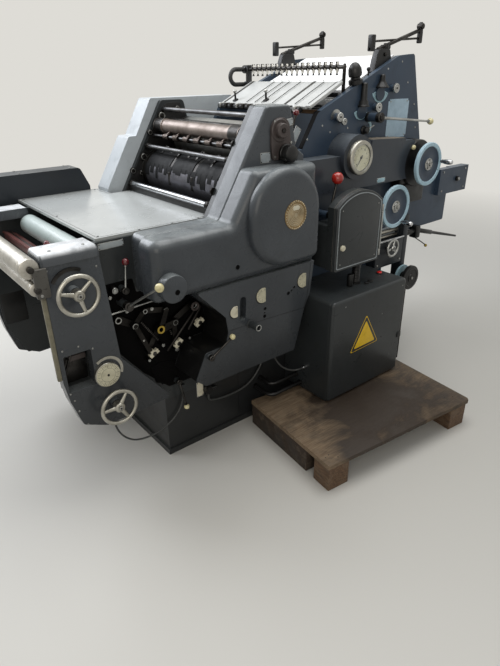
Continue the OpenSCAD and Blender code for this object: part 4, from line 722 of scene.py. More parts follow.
def handle_knob(x, y, z, r, long, finish, axes=FRONT):
    """Turned knob: a neck, a rounded body with three grip grooves and a domed end."""
    t = np.linspace(0, 1, 24)
    body = r * (0.62 + 0.38 * np.sin(np.pi * np.clip(t * 1.1, 0, 1)) ** 0.5) - 0.04 * r * (
        np.cos(t * 40) > 0.6)
    profile = [[0, 0], [r * 0.45, 0], [r * 0.45, long * 0.2],
               *np.stack([body, long * (0.2 + 0.72 * t)], -1).tolist(), [r * 0.3, long], [0, long]]
    return (finish, place(turned(profile, 40), (x, y, z), axes))


# operator side
def arch(x0, x1, z0, spring, crown, steps=28):
    """Outline of a plate with an arched top: two rounded lower corners and a flat circular arc."""
    half, rise = (x1 - x0) / 2, crown - spring
    r = (half * half + rise * rise) / (2 * rise)
    t = np.linspace(1, -1, steps) * math.asin(half / r)
    mid = (x0 + x1) / 2
    foot = rounded([[x0, spring, 0.1], [x0, z0, 8], [x1, z0, 8], [x1, spring, 0.1]], 6)[7:21]
    return np.concatenate([foot, np.stack([mid + r * np.sin(t), crown - r + r * np.cos(t)], -1)])


BOX = (58, 357, 748, 1033, 1093)


def box_arch(d, c):
    """The door's outline moved inwards by d, at depth c."""
    x0, x1, z0, spring, crown = BOX
    return np.insert(arch(x0 + d, x1 - d, z0 + d, spring - d * 0.35, crown - d), 2, c, axis=1)


door_front = 601
edge = np.linspace(0, np.pi / 2, 5)
door_rings = [box_arch(0, 591.3)] + [box_arch(4 * (1 - math.cos(t)), door_front - 4 + 4 * math.sin(t))
                                     for t in edge]
line_rings = [box_arch(11, door_front - 0.5), box_arch(11, door_front + 0.9),
              box_arch(14.5, door_front + 0.9), box_arch(14.5, door_front - 0.5), box_arch(11, door_front - 0.5)]
plate_rings = [box_arch(24, door_front - 0.5), box_arch(24, door_front + 0.6), box_arch(25, door_front + 0.9)]
axle = (364, -596, 799.5)
door_parts = [
    (dark_enamel, place(skin(np.array(door_rings)), (0, 0, 0))),
    (label_grey, place(skin(np.array(line_rings), False), (0, 0, 0))),
    (dark_enamel, place(skin(np.array(plate_rings)), (0, 0, 0))),
    (cream_nylon, place(turned([[0, 0], [12, 0], [13, 2], [13, 9], [11, 12], [5, 13], [0, 13]], 40),
                        (98, -door_front, 856))),
    (drawn_steel, bar(axle, (364, -596, 978.5), 6)),
    (dark_enamel, block((355, -600.5, 802), (364, -592, 976), 1))]
for u, v in ((90, 780), (325, 780), (90, 1020), (325, 1020)):
    door_parts += screw(u, -door_front - 0.9, v, 3.2, 1.6)
piece("control_box_door_arched", door_parts, "control_box_door")
box_rings = [box_arch(0, 545), *[box_arch(3 * (1 - math.cos(t)), 587.8 + 3 * math.sin(t)) for t in edge],
             box_arch(8, 590.8), box_arch(8, 553)]
rim_line = [box_arch(2, 579), box_arch(-0.5, 580), box_arch(-0.5, 583), box_arch(2, 584), box_arch(2, 579)]
under_box = [(dark_enamel, place(skin(np.array(box_rings)), (0, 0, 0))),
             (dark_enamel, block((61, -546, 752), (352, -452, 950), 6)),
             (black_japan, block((98, -546, 778), (298, -370.4, 918), 3)),
             (worn_iron, place(skin(np.array(rim_line), False), (0, 0, 0)))]
for z in (768.7, 979.15):
    under_box += [(drawn_steel, bar((364, -596, z), (364, -596, z + 30), 6)),
                  (dark_enamel, block((355, -596, z), (364, -578, z + 30), 1))]
for k in range(3):
    under_box += [(black_plastic, block((100 + 78 * k, -580, 860), (164 + 78 * k, -552.6, 960), 4)),
                  (cream_nylon, block((104 + 78 * k, -572, 800), (160 + 78 * k, -552.6, 828), 2))]
piece("control_box_case", under_box, "control_box")
conduit = turned([[0, 0], [26, 0], [26, 8], [20, 10], *[[20 - 2 * (k % 2), 12 + 4 * k] for k in range(20)],
                  [24, 92], [24, 101], [0, 101]], 32)
piece("control_box_conduit", [(black_plastic, place(conduit, (255, -560, 645), TOP)),
                              (black_japan, place(bead(15, 0, 60, 4, 24), (200, -575, 645), TOP))])

gauge_at = (316, -472, 1204)
case = turned([[0, 0], [75, 0], [75, 17], [73.5, 21], [70, 23.5], [59, 23.8], [56.5, 21.5], [55.5, 14], [0, 14]], 96)
bezel = ring(57.6, 22.6, 1.6, 1.4, 96, 10)
numbers = join([numeral(str(k * 2), 9.5, (38 * math.cos(a), 38 * math.sin(a)), 14.6)
                for k, a in enumerate(np.radians(np.linspace(225, -45, 9)))])
needle_turn = math.radians(236)
needle = np.array([[-12, -2.4, 0], [0, -2.8, 0], [45, -0.5, 0], [45, 0.5, 0], [0, 2.8, 0], [-12, 2.4, 0]])
needle = needle @ np.array([[math.cos(needle_turn), math.sin(needle_turn), 0],
                            [-math.sin(needle_turn), math.cos(needle_turn), 0], [0, 0, 1]])
pointer = skin(np.array([needle + (0, 0, 16), needle + (0, 0, 17)]))
dial_face = bead(55.3, 13.6, 14.4, 0.2, 96)
gauge = [(cast_aluminium, case), (drawn_steel, bezel), (gauge_cream, dial_face),
         (dial_ink, ticks(40, 225, -270, 48, 53, 0.6, 14.4)), (dial_ink, numbers), (dial_ink, pointer),
         (dial_ink, bead(6, 14, 18.5, 1, 24)), (brass, nut(6, 23, 24.4))]
piece("pressure_gauge_dial", [(m, place(p, gauge_at)) for m, p in gauge[:-1]], "pressure_gauge")
piece("pressure_gauge_glass", [(gauge_glass, place(bead(56, 19.5, 21, 0.4, 96), gauge_at))])
beads = join([place(ball(3.4, 10), (52.5 * math.cos(a), 54 * math.sin(a), 3.4), TOP)
              for a in np.linspace(0, 2 * np.pi, 32, endpoint=False)])
badge = [(brass, bead(58, 0, 2.6, 1.2)), (pale_brass, beads), (brass, ring(47, 2.8, 1.4, 1.2)),
         (pale_brass, bead(45, 2, 3.2, 0.8)), *[(brass, ring(r, 3.2, 1.3, 0.8)) for r in (12, 19, 26, 33, 40)], (cream_nylon, place(slab([[-20, 20, 8], [20, 20, 8], [16, 38, 10],
                                                                 [-16, 38, 10]], 3, 4.2, 0.5), (0, 0, 0), TOP))]
piece("round_badge", [(m, place(p, (-178, -GEAR_Y, 1046))) for m, p in badge])

hub_at = (-147, -TOWER_Y, 1349)
unit_plate = slab([[-182, 1238, 14], [-76, 1238, 14], [-92, 1345, 22], [-100, 1395, 40], [-190, 1395, 44],
                   [-190, 1300, 10]], 0, 10, 3)
motor = turned([[0, 10], [34, 10], [34, 16], [36, 18], [36, 22], [33.5, 24], [33.5, 48], [32, 54], [24, 60],
                [9, 62], [0, 62]], 48)
hub_rings = turned([[0, 0], [44, 0], [44, 11], [41, 14], [36, 14], [35, 12], [29, 12], [28, 14], [28, 29],
                    [25, 32], [12, 32], [11, 29], [0, 29]], 64)
unit_parts = [(tower_brown, place(unit_plate, (0, -TOWER_Y, 0))), (tower_brown, place(hub_rings, hub_at)),
              (oily_steel, place(nut(8, 29, 34, 10), hub_at)),
              (black_japan, place(motor, (-120, -TOWER_Y, 1262))),
              (black_japan, place(slab([[-34, -26, 8], [34, -26, 8], [34, -14, 3], [-34, -14, 3]], 8, 50, 3),
                                  (-120, -TOWER_Y, 1262)))]
for u, v in ((-172, 1252), (-88, 1300), (-176, 1382)):
    unit_parts += screw(u, -TOWER_Y - 10, v, 4.5, 2.4)
piece("tower_drive_unit_cast", unit_parts, "tower_drive_unit")
label("tower_label", (-93, -TOWER_Y - 1, 1375), (42, 27), 8)
label("shoulder_label", (-214, -TOWER_Y, 1252), (52, 40), 0, finish=label_grey)
label("lever_plate", (-26, -TOWER_Y + 30, 1322), (34, 62), -32)

holes = []
for x, y, z, r in ((-440, CASTING_Y, 878, 10), (-293, LOWER_Y, 658, 7), (-296, LOWER_Y, 624, 8),
                   (-127, LOWER_Y, 713, 6), (-142, LOWER_Y, 702, 5), (-161, LOWER_Y, 693, 8),
                   (-296, LOWER_Y, 640, 4)):
    # painted shade: each hole is a flat black disc inside an enamel ring
    holes += [(shade_black, place(bead(r, 0, 1.2, 0.4, 32), (x, -y, z))),
              (grey_enamel, place(ring(r + 1.2, 0.4, 1.6, 0.9, 32, 8), (x, -y, z)))]
piece("cover_holes", holes)


def half_dial(name, x, z, r, flat_x, y, marks=True):
    """Cream dial whose right side is cut straight, with marks and a small screw, over a thin black disc set down and
    left of it as painted shade round its edge.
    """
    t = np.linspace(np.arccos((flat_x - x) / r), 2 * np.pi - np.arccos((flat_x - x) / r), 30)
    rim = np.stack([x + r * np.cos(t), z + r * np.sin(t)], -1)
    # painted shade: a black disc a little larger than the dial and set down and left, showing as a dark rim below it
    shade = np.stack([x - 2.5 + (r + 2.5) * np.cos(t), z - 2.5 + (r + 2.5) * np.sin(t)], -1)
    flat = [(black_japan, 0.4, shade), (dial_cream if marks else cream_nylon, 2.2, rim)]
    parts = [(m, place(skin(np.array([np.insert(o, 2, c, 1) for c in (0, high - 0.2, high)])), (0, -y, 0)))
             for m, high, o in flat]
    if marks:
        dots = ticks(9, 110, 150, r * 0.66, r * 0.9, 0.8, 2.2, 3)
        parts.append((dial_ink, place((dots[0] + (x, z, 0), dots[1]), (0, -y, 0))))
    parts += screw(flat_x - 5, -y - 2.2, z + r * 0.7, 2.6, 1.4)
    piece(name, parts)


half_dial("cover_dial_left", -306, 722, 33, -291, LOWER_Y)
half_dial("cover_dial_right", -73, 732, 33, -58, LOWER_Y)
half_dial("cover_dial_small", -450, 688, 25, -439, LOWER_Y, False)
seam("cover_seam", [(-480, 612), (-380, 611), (-200, 603), (-64, 597)], -LOWER_Y)
seam("cover_seam_right", [(-31, 806), (-40, 700), (-48, 640), (-66, 598)], -LOWER_Y)
pin = turned([[0, 0], [19, 0], [19, 4], [15.4, 6], [15.4, 57], [14.6, 58.4], [9.8, 58.4], [9.8, 40], [0, 40]], 40)
piece("crank_socket", [(dark_enamel, place(pin, (-375, -LOWER_Y, 613))),
                       (drawn_steel, place(ring(12.5, 58, 2.2, 1.2, 40, 8), (-375, -LOWER_Y, 613))),
                       (black_japan, place(bead(10, 39, 41, 0.5, 24), (-375, -LOWER_Y, 613)))])


def side_band(name, points, y0, y1, finish, out=0.8):
    """Thin sheet lying on the side of a plate, along an outline, between two depths."""
    p = np.array(points, float)
    d = unit(np.gradient(p, axis=0))
    n = np.stack([-d[:, 1], d[:, 0]], -1)
    rings = np.stack([np.insert(p + n * k, 1, y, 1) for k, y in ((out, -y0), (out, -y1), (-1, -y1), (-1, -y0))], 1)
    piece(name, [(finish, skin(rings))])


side_band("cover_inner_wall", [(-604, 402), (-620, 414), (-655, 440), (-603, 546), (-596, 549), (-512, 551),
                               (-501, 556), (-487, 606), (-496, 674), (-503, 683), (-622, 809)],
          OUTER_Y + 4, LOWER_Y - 4, black_japan)

# open linkage bay
bay = [[-905, 600, 6], [-800, 460, 6], [-690, 350, 6], [-560, 350, 20], [-480, 470, 20], [-495, 560, 6],
       [-480, 600, 6], [-492, 676, 8], [-620, 812, 8], [-790, 812, 8], [-800, 870, 8], [-915, 870, 8]]
# painted shade: a black sheet across the back of the open bay
piece("bay_back", [(shade_black, place(slab(bay, 0, 1.5, 0.5), (0, -OUTER_Y, 0)))])
links = []
for x, z, r in ((-892, 735, 17), (-827, 691, 15), (-721, 645, 18), (-653, 655, 16), (-560, 705, 15),
                (-775, 560, 11), (-655, 560, 11), (-690, 720, 13), (-780, 740, 12)):
    links += shaft_end(x, -OUTER_Y, z, r, 38)


def flat_link(a, b, ra, rb, y, thick=9):
    """Flat forged link: two round eyes joined by their common tangents."""
    a, b = np.array(a, float), np.array(b, float)
    d = b - a
    size = np.linalg.norm(d)
    lean = math.asin((ra - rb) / size)
    way = math.atan2(d[1], d[0])
    t1 = np.linspace(way + np.pi / 2 - lean, way + 3 * np.pi / 2 + lean, 14)
    t2 = np.linspace(way - np.pi / 2 + lean, way + np.pi / 2 - lean, 14)
    o = np.concatenate([a + ra * np.stack([np.cos(t1), np.sin(t1)], -1),
                        b + rb * np.stack([np.cos(t2), np.sin(t2)], -1)])
    mid = o.mean(0)
    rings = [np.insert(o, 2, 0, 1), np.insert(o, 2, thick - 1, 1), np.insert(mid + (o - mid) * 0.985, 2, thick, 1)]
    return place(skin(np.array(rings)), (0, y, 0))


for k, (a, b, ra, rb) in enumerate((((-892, 735), (-827, 691), 16, 13), ((-827, 691), (-780, 740), 11, 10),
                                    ((-721, 645), (-653, 655), 17, 15), ((-653, 655), (-560, 705), 13, 13),
                                    ((-780, 740), (-690, 720), 11, 11), ((-690, 720), (-721, 645), 10, 12),
                                    ((-775, 560), (-721, 645), 10, 12), ((-655, 560), (-653, 655), 10, 11),
                                    ((-827, 691), (-775, 560), 10, 9))):
    links.append((dark_iron, flat_link(a, b, ra, rb, -OUTER_Y - 8 - 11 * (k % 3))))
links += [(oily_steel, coil_spring((-800, -400, 700), (-735, -400, 600), 6, 1.4, 14)),
          (oily_steel, coil_spring((-700, -395, 700), (-668, -395, 600), 5, 1.2, 12)),
          (drawn_steel, bar((-910, -392, 760), (-700, -392, 770), 4)),
          (dark_iron, bar((-700, -404, 540), (-560, -404, 680), 6)),
          (dark_iron, bar((-590, -396, 600), (-520, -396, 690), 7))]
for x, z, r, k in ((-884, 848, 15, 26), (-904, 824, 9, 20), (-863, 801, 11, 22), (-651, 528, 12, 30), (-783, 525, 7, 34),
                   (-747, 739, 9, 30), (-687, 713, 8, 30), (-800, 622, 8, 36), (-715, 571, 9, 34), (-587, 560, 8, 30),
                   (-847, 755, 9, 24)):
    links += shaft_end(x, -OUTER_Y, z, r, k)
    links.append((drawn_steel, place(nut(r * 0.6, k, k + 4, x), (x, -OUTER_Y, z))))
piece("linkage_forged", links, "linkage")


def nylon_bracket(x, z, turned_by):
    """Cream nylon bracket: a block with two ears on a short shaft."""
    t = math.radians(turned_by)
    axes = ((math.cos(t), 0, math.sin(t)), (-math.sin(t), 0, math.cos(t)))
    body = slab([[-22, -9, 3], [22, -9, 3], [22, 9, 3], [8, 9, 2], [8, 17, 2], [-10, 17, 2], [-10, 9, 2],
                 [-22, 9, 3]], 28, 44, 2)
    return [(cream_nylon, place(body, (x, -OUTER_Y, z), axes)),
            (oily_steel, place(bead(9, 0, 47, 1.5, 24), (x, -OUTER_Y, z), axes))]


white_bits = nylon_bracket(-762, 553, 28) + nylon_bracket(-648, 560, 42) + nylon_bracket(-540, 622, 30)
white_bits += [(yellow_ring, place(ring(13, 40, 4, 3, 40, 10), (-721, -OUTER_Y, 645))),
               (tower_brown, place(ring(15, 40, 5, 4, 40, 10), (-557, -OUTER_Y, 700)))]
piece("linkage_brackets", white_bits)
foot_box = [[-770, 472, 8], [-748, 392, 8], [-668, 360, 8], [-640, 400, 10], [-660, 470, 10], [-720, 482, 10]]
# painted shade: a black sheet in the recess round the foot lever
piece("foot_recess", [(shade_black, place(slab(foot_box, 0, 3, 1), (0, -OUTER_Y - 0.8, 0)))])

# delivery end
cap_section = [[-424.6, 999, 0.5], [-309.5, 999, 0.5], [-309.5, 1040.6, 3], [-424.6, 1040.6, 24]]
cap = place(slab(cap_section, 0, 201, 10, 14, 10, 6), (-1135.6, 0, 0), ((0, 1, 0), (0, 0, 1)))
# painted highlight: the caps' upward faces are mixed fully to near white, standing for the light on their tops
cap_enamel_lit_top = enamel("cap_painted_highlight_enamel", "grey_enamel", "#55595d", "#484b4f", "#f0f2f3", 0.14, 0.3, up=1.0)
for side, form in (("operator", cap), ("drive", mirrored(cap))):
    piece("delivery_cap_" + side, [(cap_enamel_lit_top, form)])
cap_screws = []
for x in (-1090, -975):
    for y in (-395, 395):
        cap_screws += screw(x, y, 1040.5, 5.5, 2.6, TOP)
piece("delivery_cap_screws", cap_screws)


def cross_roll(x, z, r, y0, y1, groove=0.0, steps=48):
    """Polished roll across the machine, its ends rounded, with a shallow groove near each end."""
    e = min(5.0, r * 0.3)
    s = [0, e * 0.3, e, 20, 20.5, 24, 24.5]
    rr = [r - e, r - e * 0.3, r, r, r - groove, r - groove, r]
    prof = [[0, 0], *[[a, b] for a, b in zip(rr, s)]]
    size = y1 - y0
    prof += [[a, size - b] for a, b in zip(rr[::-1], s[::-1])] + [[0, size]]
    return place(turned(prof, steps), (x, y1, z))


rails = [(satin_rail, cross_roll(-1169, 1002, 34, -420, 420, 0.8)),
         (satin_rail, cross_roll(-1159, 930, 24, -420, 420, 0.8)),
         (dull_strip, block((-1151, -420, 576), (-1135, -406, 906), 3))]
for s in (-1, 1):
    foot = slab([[-1165, 900, 6], [-1120, 900, 6], [-1120, 1000, 2], [-1165, 1000, 10]], 0, 14, 2)
    bracket = place(foot, (0, -420, 0))
    rails.append((worn_iron, bracket if s < 0 else mirrored(bracket)))
    rails += [(m, p if s < 0 else mirrored(p)) for m, p in screw(-1150, -434, 912, 5, 3)]
piece("end_rails_polished", rails, "end_rails")
piece("rail_ends", [(oily_steel, place(bead(11, 0, 16, 2, 32), (x, -420, z))) for x, z in
                    ((-1169, 1002), (-1159, 930))])
plate_bits = []
for x, z in ((-1118, 690), (-1060, 690), (-1010, 665), (-1118, 512), (-1108, 480), (-1098, 430),
             (-1075, 360), (-950, 965), (-1118, 985)):
    plate_bits += screw(x, -DELIVERY_Y, z, 3.6, 1.8)
piece("delivery_plate_screws", plate_bits)
window = [(oily_steel, block((-1122, -344, 500), (-1005, -330, 680), 2)),
          (tower_brown, block((-1085, -366, 610), (-1020, -345, 632), 3)),
          (oily_steel, bar((-1110, -362, 560), (-1060, -362, 668), 5)),
          (black_japan, bar((-1100, -356, 640), (-1025, -356, 600), 7))]
piece("window_parts", window)
# painted shade: a black sheet across the drive plate's window
piece("drive_window_painted_shade", [(black_japan, block((-1128, 346, 494), (-998, 350, 692), 1))])
dial = [(cast_aluminium, turned([[0, 0], [50, 0], [50, 12], [48, 14.5], [0, 14.5]], 64)),
        (dial_cream, bead(46.5, 14, 15.6, 0.5, 64)), (dial_ink, ticks(36, 90, 360, 36, 44, 0.9, 15.5, 3)),
        (dial_ink, ring(28, 15.6, 0.5, 0.3, 48, 6)), (oily_steel, bead(4.5, 15, 18.5, 1, 20))]
piece("delivery_dial", [(m, place(p, (-972, -DELIVERY_Y, 545))) for m, p in dial])


def arc_band(r0, r1, first, last, c0, c1, steps=28):
    """A flat band between two radii over part of a circle."""
    t = np.radians(np.linspace(first, last, steps))
    inner = np.stack([r0 * np.cos(t), r0 * np.sin(t)], -1)
    outer = np.stack([r1 * np.cos(t), r1 * np.sin(t)], -1)[::-1]
    o = np.concatenate([inner, outer]) if last < first else np.concatenate([outer[::-1], inner[::-1]])
    return skin(np.array([np.insert(o, 2, c, 1) for c in (c0, c1)]))


piece("dial_index_band", [(cast_aluminium, place(arc_band(52, 63, 128, -22, 0, 3), (-968, -DELIVERY_Y, 553)))])
piece("wheel_scale", [(oily_steel, place(arc_band(66, 78, 60, 150, 0, 6), (-1045, -DELIVERY_Y, 904)))])
label("delivery_label", (-865, -OUTER_Y, 1012), (98, 24), 0, finish=label_grey)
red_knob = [handle_knob(-1004, -100, 950, 14, 44, dark_red, TOP),
            (oily_steel, bar((-1004, -100, 926), (-1004, -100, 955), 5))]
piece("ink_tray_knob", red_knob)
tray_lip = [(ink_stained, block((-1046, -344, 916), (-1040, 344, 944), 2)),
            (oily_steel, bar((-1022, -344, 940), (-1022, 344, 940), 5))]
piece("ink_tray_lip", tray_lip)
roll = turned([[0, 0], [18, 0], [18, 60], [40, 60], [42, 62], [42, 660], [40, 662], [18, 662], [18, 712],
               [0, 712]], 72)
piece("ink_roller_enamelled", [(roller_green, place((roll[0] + (0, 0, -356), roll[1]), (-940, 0, 970)))],
      "ink_roller")

# inking table: the border line and its screws
table_line = [(-903, -345), (-468, -345), (-412, -333), (-412, 333), (-537, 345), (-537, 488), (-903, 488)]
strips = []
for a, b in zip(table_line, table_line[1:] + table_line[:1]):
    d = unit(np.array(b, float) - a)
    n = np.array([-d[1], d[0]]) * 0.9
    a, b = np.array(a, float), np.array(b, float)
    strips.append(skin(np.array([[[*(a - n), 0], [*(b - n), 0], [*(b + n), 0], [*(a + n), 0]],
                                 [[*(a - n), 0.35], [*(b - n), 0.35], [*(b + n), 0.35], [*(a + n), 0.35]]])))
piece("table_border", [(dial_ink, place(join(strips), (0, 0, 1040), TOP))])
table_screws = []
for x, y in ((-895, -335), (-740, -352), (-600, -352), (-480, -352), (-895, 60), (-895, 478), (-548, 478),
             (-430, 320), (-430, -320), (-700, 492)):
    table_screws += screw(x, y, 1040, 4, 1.2, TOP, oily_steel)
piece("table_screws", table_screws)

# printing unit
rod_parts = [(m, cross_roll(x, z, r, -345, 345)) for m, x, z, r in
             ((dull_rod, -196, 1400, 10), (dull_rod, -150, 1392, 6), (dull_rod, -305, 1239, 10),
              (bright_steel, -412, 1075, 13))]
rod_parts += [(black_japan, block((-424, -345, 1040), (-418, 345, 1066), 1.5)),
              (oily_steel, block((-418, -345, 1040), (-404, 345, 1058), 2))]
for y in (-330, 330):
    rod_parts += [(oily_steel, cross_roll(-412, 1075, 18, y - 14, y + 14)),
                  (oily_steel, cross_roll(-305, 1239, 15, y - 14, y + 14))]
piece("cross_rods_polished", rod_parts, "cross_rods")
ring_parts = [(dull_rod, cross_roll(-267, 1287, 6, -345, 345))]
for y in np.linspace(-230, 210, 6):
    clip = slab([[-7, -7, 3], [7, -7, 3], [9, 8, 3], [34, 26, 3], [30, 31, 3], [0, 12, 5], [-7, 8, 3]], -4, 4, 1, 1)
    ring_parts += [(cream_steel, place(clip, (-267, y, 1287))),
                   (cream_steel, cross_roll(-267, 1287, 13, y - 4, y + 4))]
piece("ring_bar_clips", ring_parts, "ring_bar")
steel = turned([[0, 0], [18, 0], [18, 20], [36, 20], [36, 92], [32, 93], [32, 619], [36, 620], [36, 692],
                [18, 692], [18, 712], [0, 712]], 72)
oily_band = [(oily_steel, cross_roll(-229, 1328, 36.3, -337, -264)), (oily_steel, cross_roll(-229, 1328, 36.3,
                                                                                           264, 337))]
piece("steel_roller_ground", [(cream_steel, place((steel[0] + (0, 0, -356), steel[1]), (-229, 0, 1328)))]
      + oily_band, "steel_roller")


def cylinder_parts(x, z, r, finish):
    """Cylinder with a bearer ring at each end, a neck between them and the turned body, all in one finish."""
    prof = [[0, 0], [18, 0], [18, 19], [r, 19], [r, 40], [r - 6, 41], [r - 6, 47], [r - 2, 48],
            [r - 2, 664], [r - 6, 665], [r - 6, 671], [r, 672], [r, 693], [18, 693], [18, 712], [0, 712]]
    p = turned(prof, 96)
    return [(finish, place((p[0] + (0, 0, -356), p[1]), (x, 0, z)))]


def shell(x, z, r, y0, y1, a0, a1, thick, finish):
    """Sheet wrapped over part of a cylinder between two angles, in degrees from +x towards +z."""
    t = np.radians(np.linspace(a0, a1, 30))
    inner, outer = (np.stack([x + q * np.cos(t), z + q * np.sin(t)], -1) for q in (r, r + thick))
    o = np.concatenate([outer, inner[::-1]])
    return (finish, skin(np.array([np.insert(o, 1, y, 1) for y in (y0, y1)])))


drum = cylinder_parts(-240, 1117, 107, oily_steel)
for y0, y1 in ((-296, -120), (-96, 70), (94, 296)):
    drum.append(shell(-240, 1117, 105, y0, y1, 70, 158, 2.8, blanket_rubber))
drum.append(shell(-240, 1117, 105, -300, 300, 157, 330, 2.2, plate_film))
# painted shade: short black strips with ragged ends across the start of the plate stand for the dark openings there
ragged_shade_ends = (172, 166, 181, 169, 163, 177, 185, 168, 160, 174)
for k, y in enumerate(np.linspace(-292, 268, 15)):
    drum.append(shell(-240, 1117, 105.4, y, y + 16 + k * 11 % 26, 150, ragged_shade_ends[k * 3 % 10], 3.4, blanket_rubber))
for y in (-108, 82):
    drum.append((oily_steel, block((-348, y - 9, 1090), (-338, y + 9, 1150), 3)))
for y in (-333, 333):
    drum.append((drawn_steel, cross_roll(-240, 1117, 106.5, y - 8, y + 8, 0, 96)))
piece("blanket_cylinder_dressed", drum, "blanket_cylinder")
piece("plate_cylinder_dressed", cylinder_parts(-65.0616, 1253.6769, 107, oily_steel)
      + [shell(-65.0616, 1253.6769, 105, -305, 305, 20, 330, 2, drawn_steel)], "plate_cylinder")


def inner_wall(y, axes):
    """Shaft ends and nuts on the inner face of a side frame above the table."""
    parts = []
    for x, z, r, k in ((-330, 1190, 20, 10), (-285, 1300, 14, 12), (-210, 1370, 22, 8), (-120, 1400, 15, 9),
                       (-150, 1330, 24, 6), (-395, 1130, 16, 8), (-175, 1290, 12, 14), (-350, 1115, 12, 6)):
        parts += shaft_end(x, y, z, r, k, axes)
        parts.append((oily_steel, place(nut(r * 0.45, k, k + 5, 15), (x, y, z), axes)))
    return parts


piece("inner_wall_drive", inner_wall(345, FRONT))
piece("inner_wall_operator", inner_wall(-345, BACK))
wall = [[slant(1042) + 4, 1042, 4], [-60, 1042, 4], [-60, 1340, 20], [-100, 1428, 20], [-190, 1428, 60]]
piece("inner_wall_panel_drive", [(black_japan, place(slab(wall, 0, 1.5, 0.5), (0, 345, 0)))])
wall_back = [[-x, z, r] for x, z, r in wall[::-1]]
piece("inner_wall_panel_operator", [(black_japan, place(slab(wall_back, 0, 1.5, 0.5), (0, -345, 0), BACK))])
arms = []
for y, a, b in ((-200, (-300, 1195), (-262, 1238)), (-140, (-310, 1170), (-270, 1215)), (-60, (-300, 1190),
                (-250, 1240)), (10, (-312, 1176), (-268, 1222)), (90, (-300, 1192), (-258, 1236)),
                (170, (-308, 1172), (-266, 1218)), (240, (-300, 1190), (-252, 1238))):
    arms += [(oily_steel, place((flat_link(a, b, 10, 7, 0, 10)[0], flat_link(a, b, 10, 7, 0, 10)[1]),
                                (0, y, 0), ((1, 0, 0), (0, 1, 0)))),
             (drawn_steel, bar((b[0], y - 16, b[1]), (b[0], y + 6, b[1]), 4, 12))]
arms += [(oily_steel, cross_roll(-262, 1226, 7, -345, 345)), (oily_steel, cross_roll(-210, 1270, 8, -345, 345)),
         (oily_steel, cross_roll(-178, 1352, 9, -345, 345))]
piece("gripper_arms", arms)

# base of the machine
plug = turned([[0, 0], [21, 0], [21, 12], [18.5, 15], [18.5, 24.4], [0, 24.4]], 40)
glands = [(black_plastic, place(plug, (-500, -OUTER_Y, 262))),
          (black_plastic, place(turned([[0, 0], [9, 0], [9, 26], [6, 30], [0, 30]], 28), (-486, -383, 262), RIGHT)),
          (oily_steel, place(nut(11, 0, 9), (-500, -383, 237), TOP)),
          (drawn_steel, place(nut(9.5, 0, 7), (-148, -383, 392), TOP)),
          (drawn_steel, place(nut(9.5, 0, 7), (-165, -450, 392), TOP)),
          (oily_steel, place(nut(8.5, 0, 7), (-630, -381, 324), TOP)),
          (oily_steel, place(nut(9.5, 0, 8), (-960, -395, 316), TOP)),
          (bright_steel, place(turned([[0, 0.2], [7.4, 0.2], [7.8, 2], [7.8, 12], [10, 12], [10, 19.5], [0, 19.5]], 32),
                               (-40, -512, 258), RIGHT))]
piece("lead_glands", glands)
label("base_label", (-536, -OUTER_Y, 273), (36, 76), 0, finish=cream_nylon)
for name, x in (("base_seam_left", -320), ("base_seam_right", 60)):
    seam(name, [(x, 30), (x, 288)], -OUTER_Y - 0.2, 1.6)
pipes = []
for x, z, out, r in ((-185, 198, 460, 10), (-215, 162, 490, 10)):
    t = np.linspace(0, np.pi / 2, 9)[1:-1]
    bend = np.stack([x + 30 - 30 * np.cos(t), -out + 30 - 30 * np.sin(t), np.full(7, z)], -1)
    way = np.concatenate([[(x, -371, z), (x, -385, z), (x, -out + 32, z)], bend,
                          [(x + 32, -out, z), (-60, -out, z), (-20.5, -out, z)]])
    pipes += [(black_japan, tube(way, r, 20)), (oily_steel, place(nut(14, 0, 9, 10), (x, -371, z))),
              (oily_steel, place(nut(14, 0, 10, 10), (-31, -out, z), RIGHT))]
piece("lower_pipes_bent", pipes, "lower_pipes")

# electrical cabinet
case_pts = [[-20, 130, 12], [500, 130, 12], [500, 645, 20], [-20, 645, 20]]
case_rings = [(0, 373.6), (0, 373), (0, 657), (0.8, 658), (17.4, 658), (18, 657.4), (18, 391)]
case_form = skin(np.array([np.insert(rounded(inset(case_pts, d), 10), 2, c, 1) for d, c in case_rings[1:]]))
cabinet = [(dark_enamel, place(case_form, (0, 0, 0))),
           (red_lamp, place(turned([[0, 0], [13, 0], [13, 6], [10.5, 9], [5, 10], [0, 10]], 36), (445, -553, 645), TOP)),
           (black_japan, place(ring(15, 2, 3, 2, 40, 10), (445, -553, 645), TOP)),
           (black_japan, place(bead(14, 0, 8, 2, 32), (318, -600, 645), TOP)),
           (black_japan, place(bead(11, 0, 8, 2, 32), (285, -606, 645), TOP))]
for z in (192, 552.5):
    cabinet += [(oily_steel, bar((506, -669, z), (506, -669, z + 29.5), 6)),
                (dark_enamel, block((497, -668, z), (506, -640, z + 29.5), 1))]
piece("cabinet_case", cabinet, "cabinet_body")
gear = [(label_grey, block((24, -399, 172), (456, -391.2, 604), 2)),
        (black_plastic, block((60, -486, 196), (176, -398, 272), 6)),
        (drawn_steel, block((72, -478, 190), (164, -404, 278), 3))]
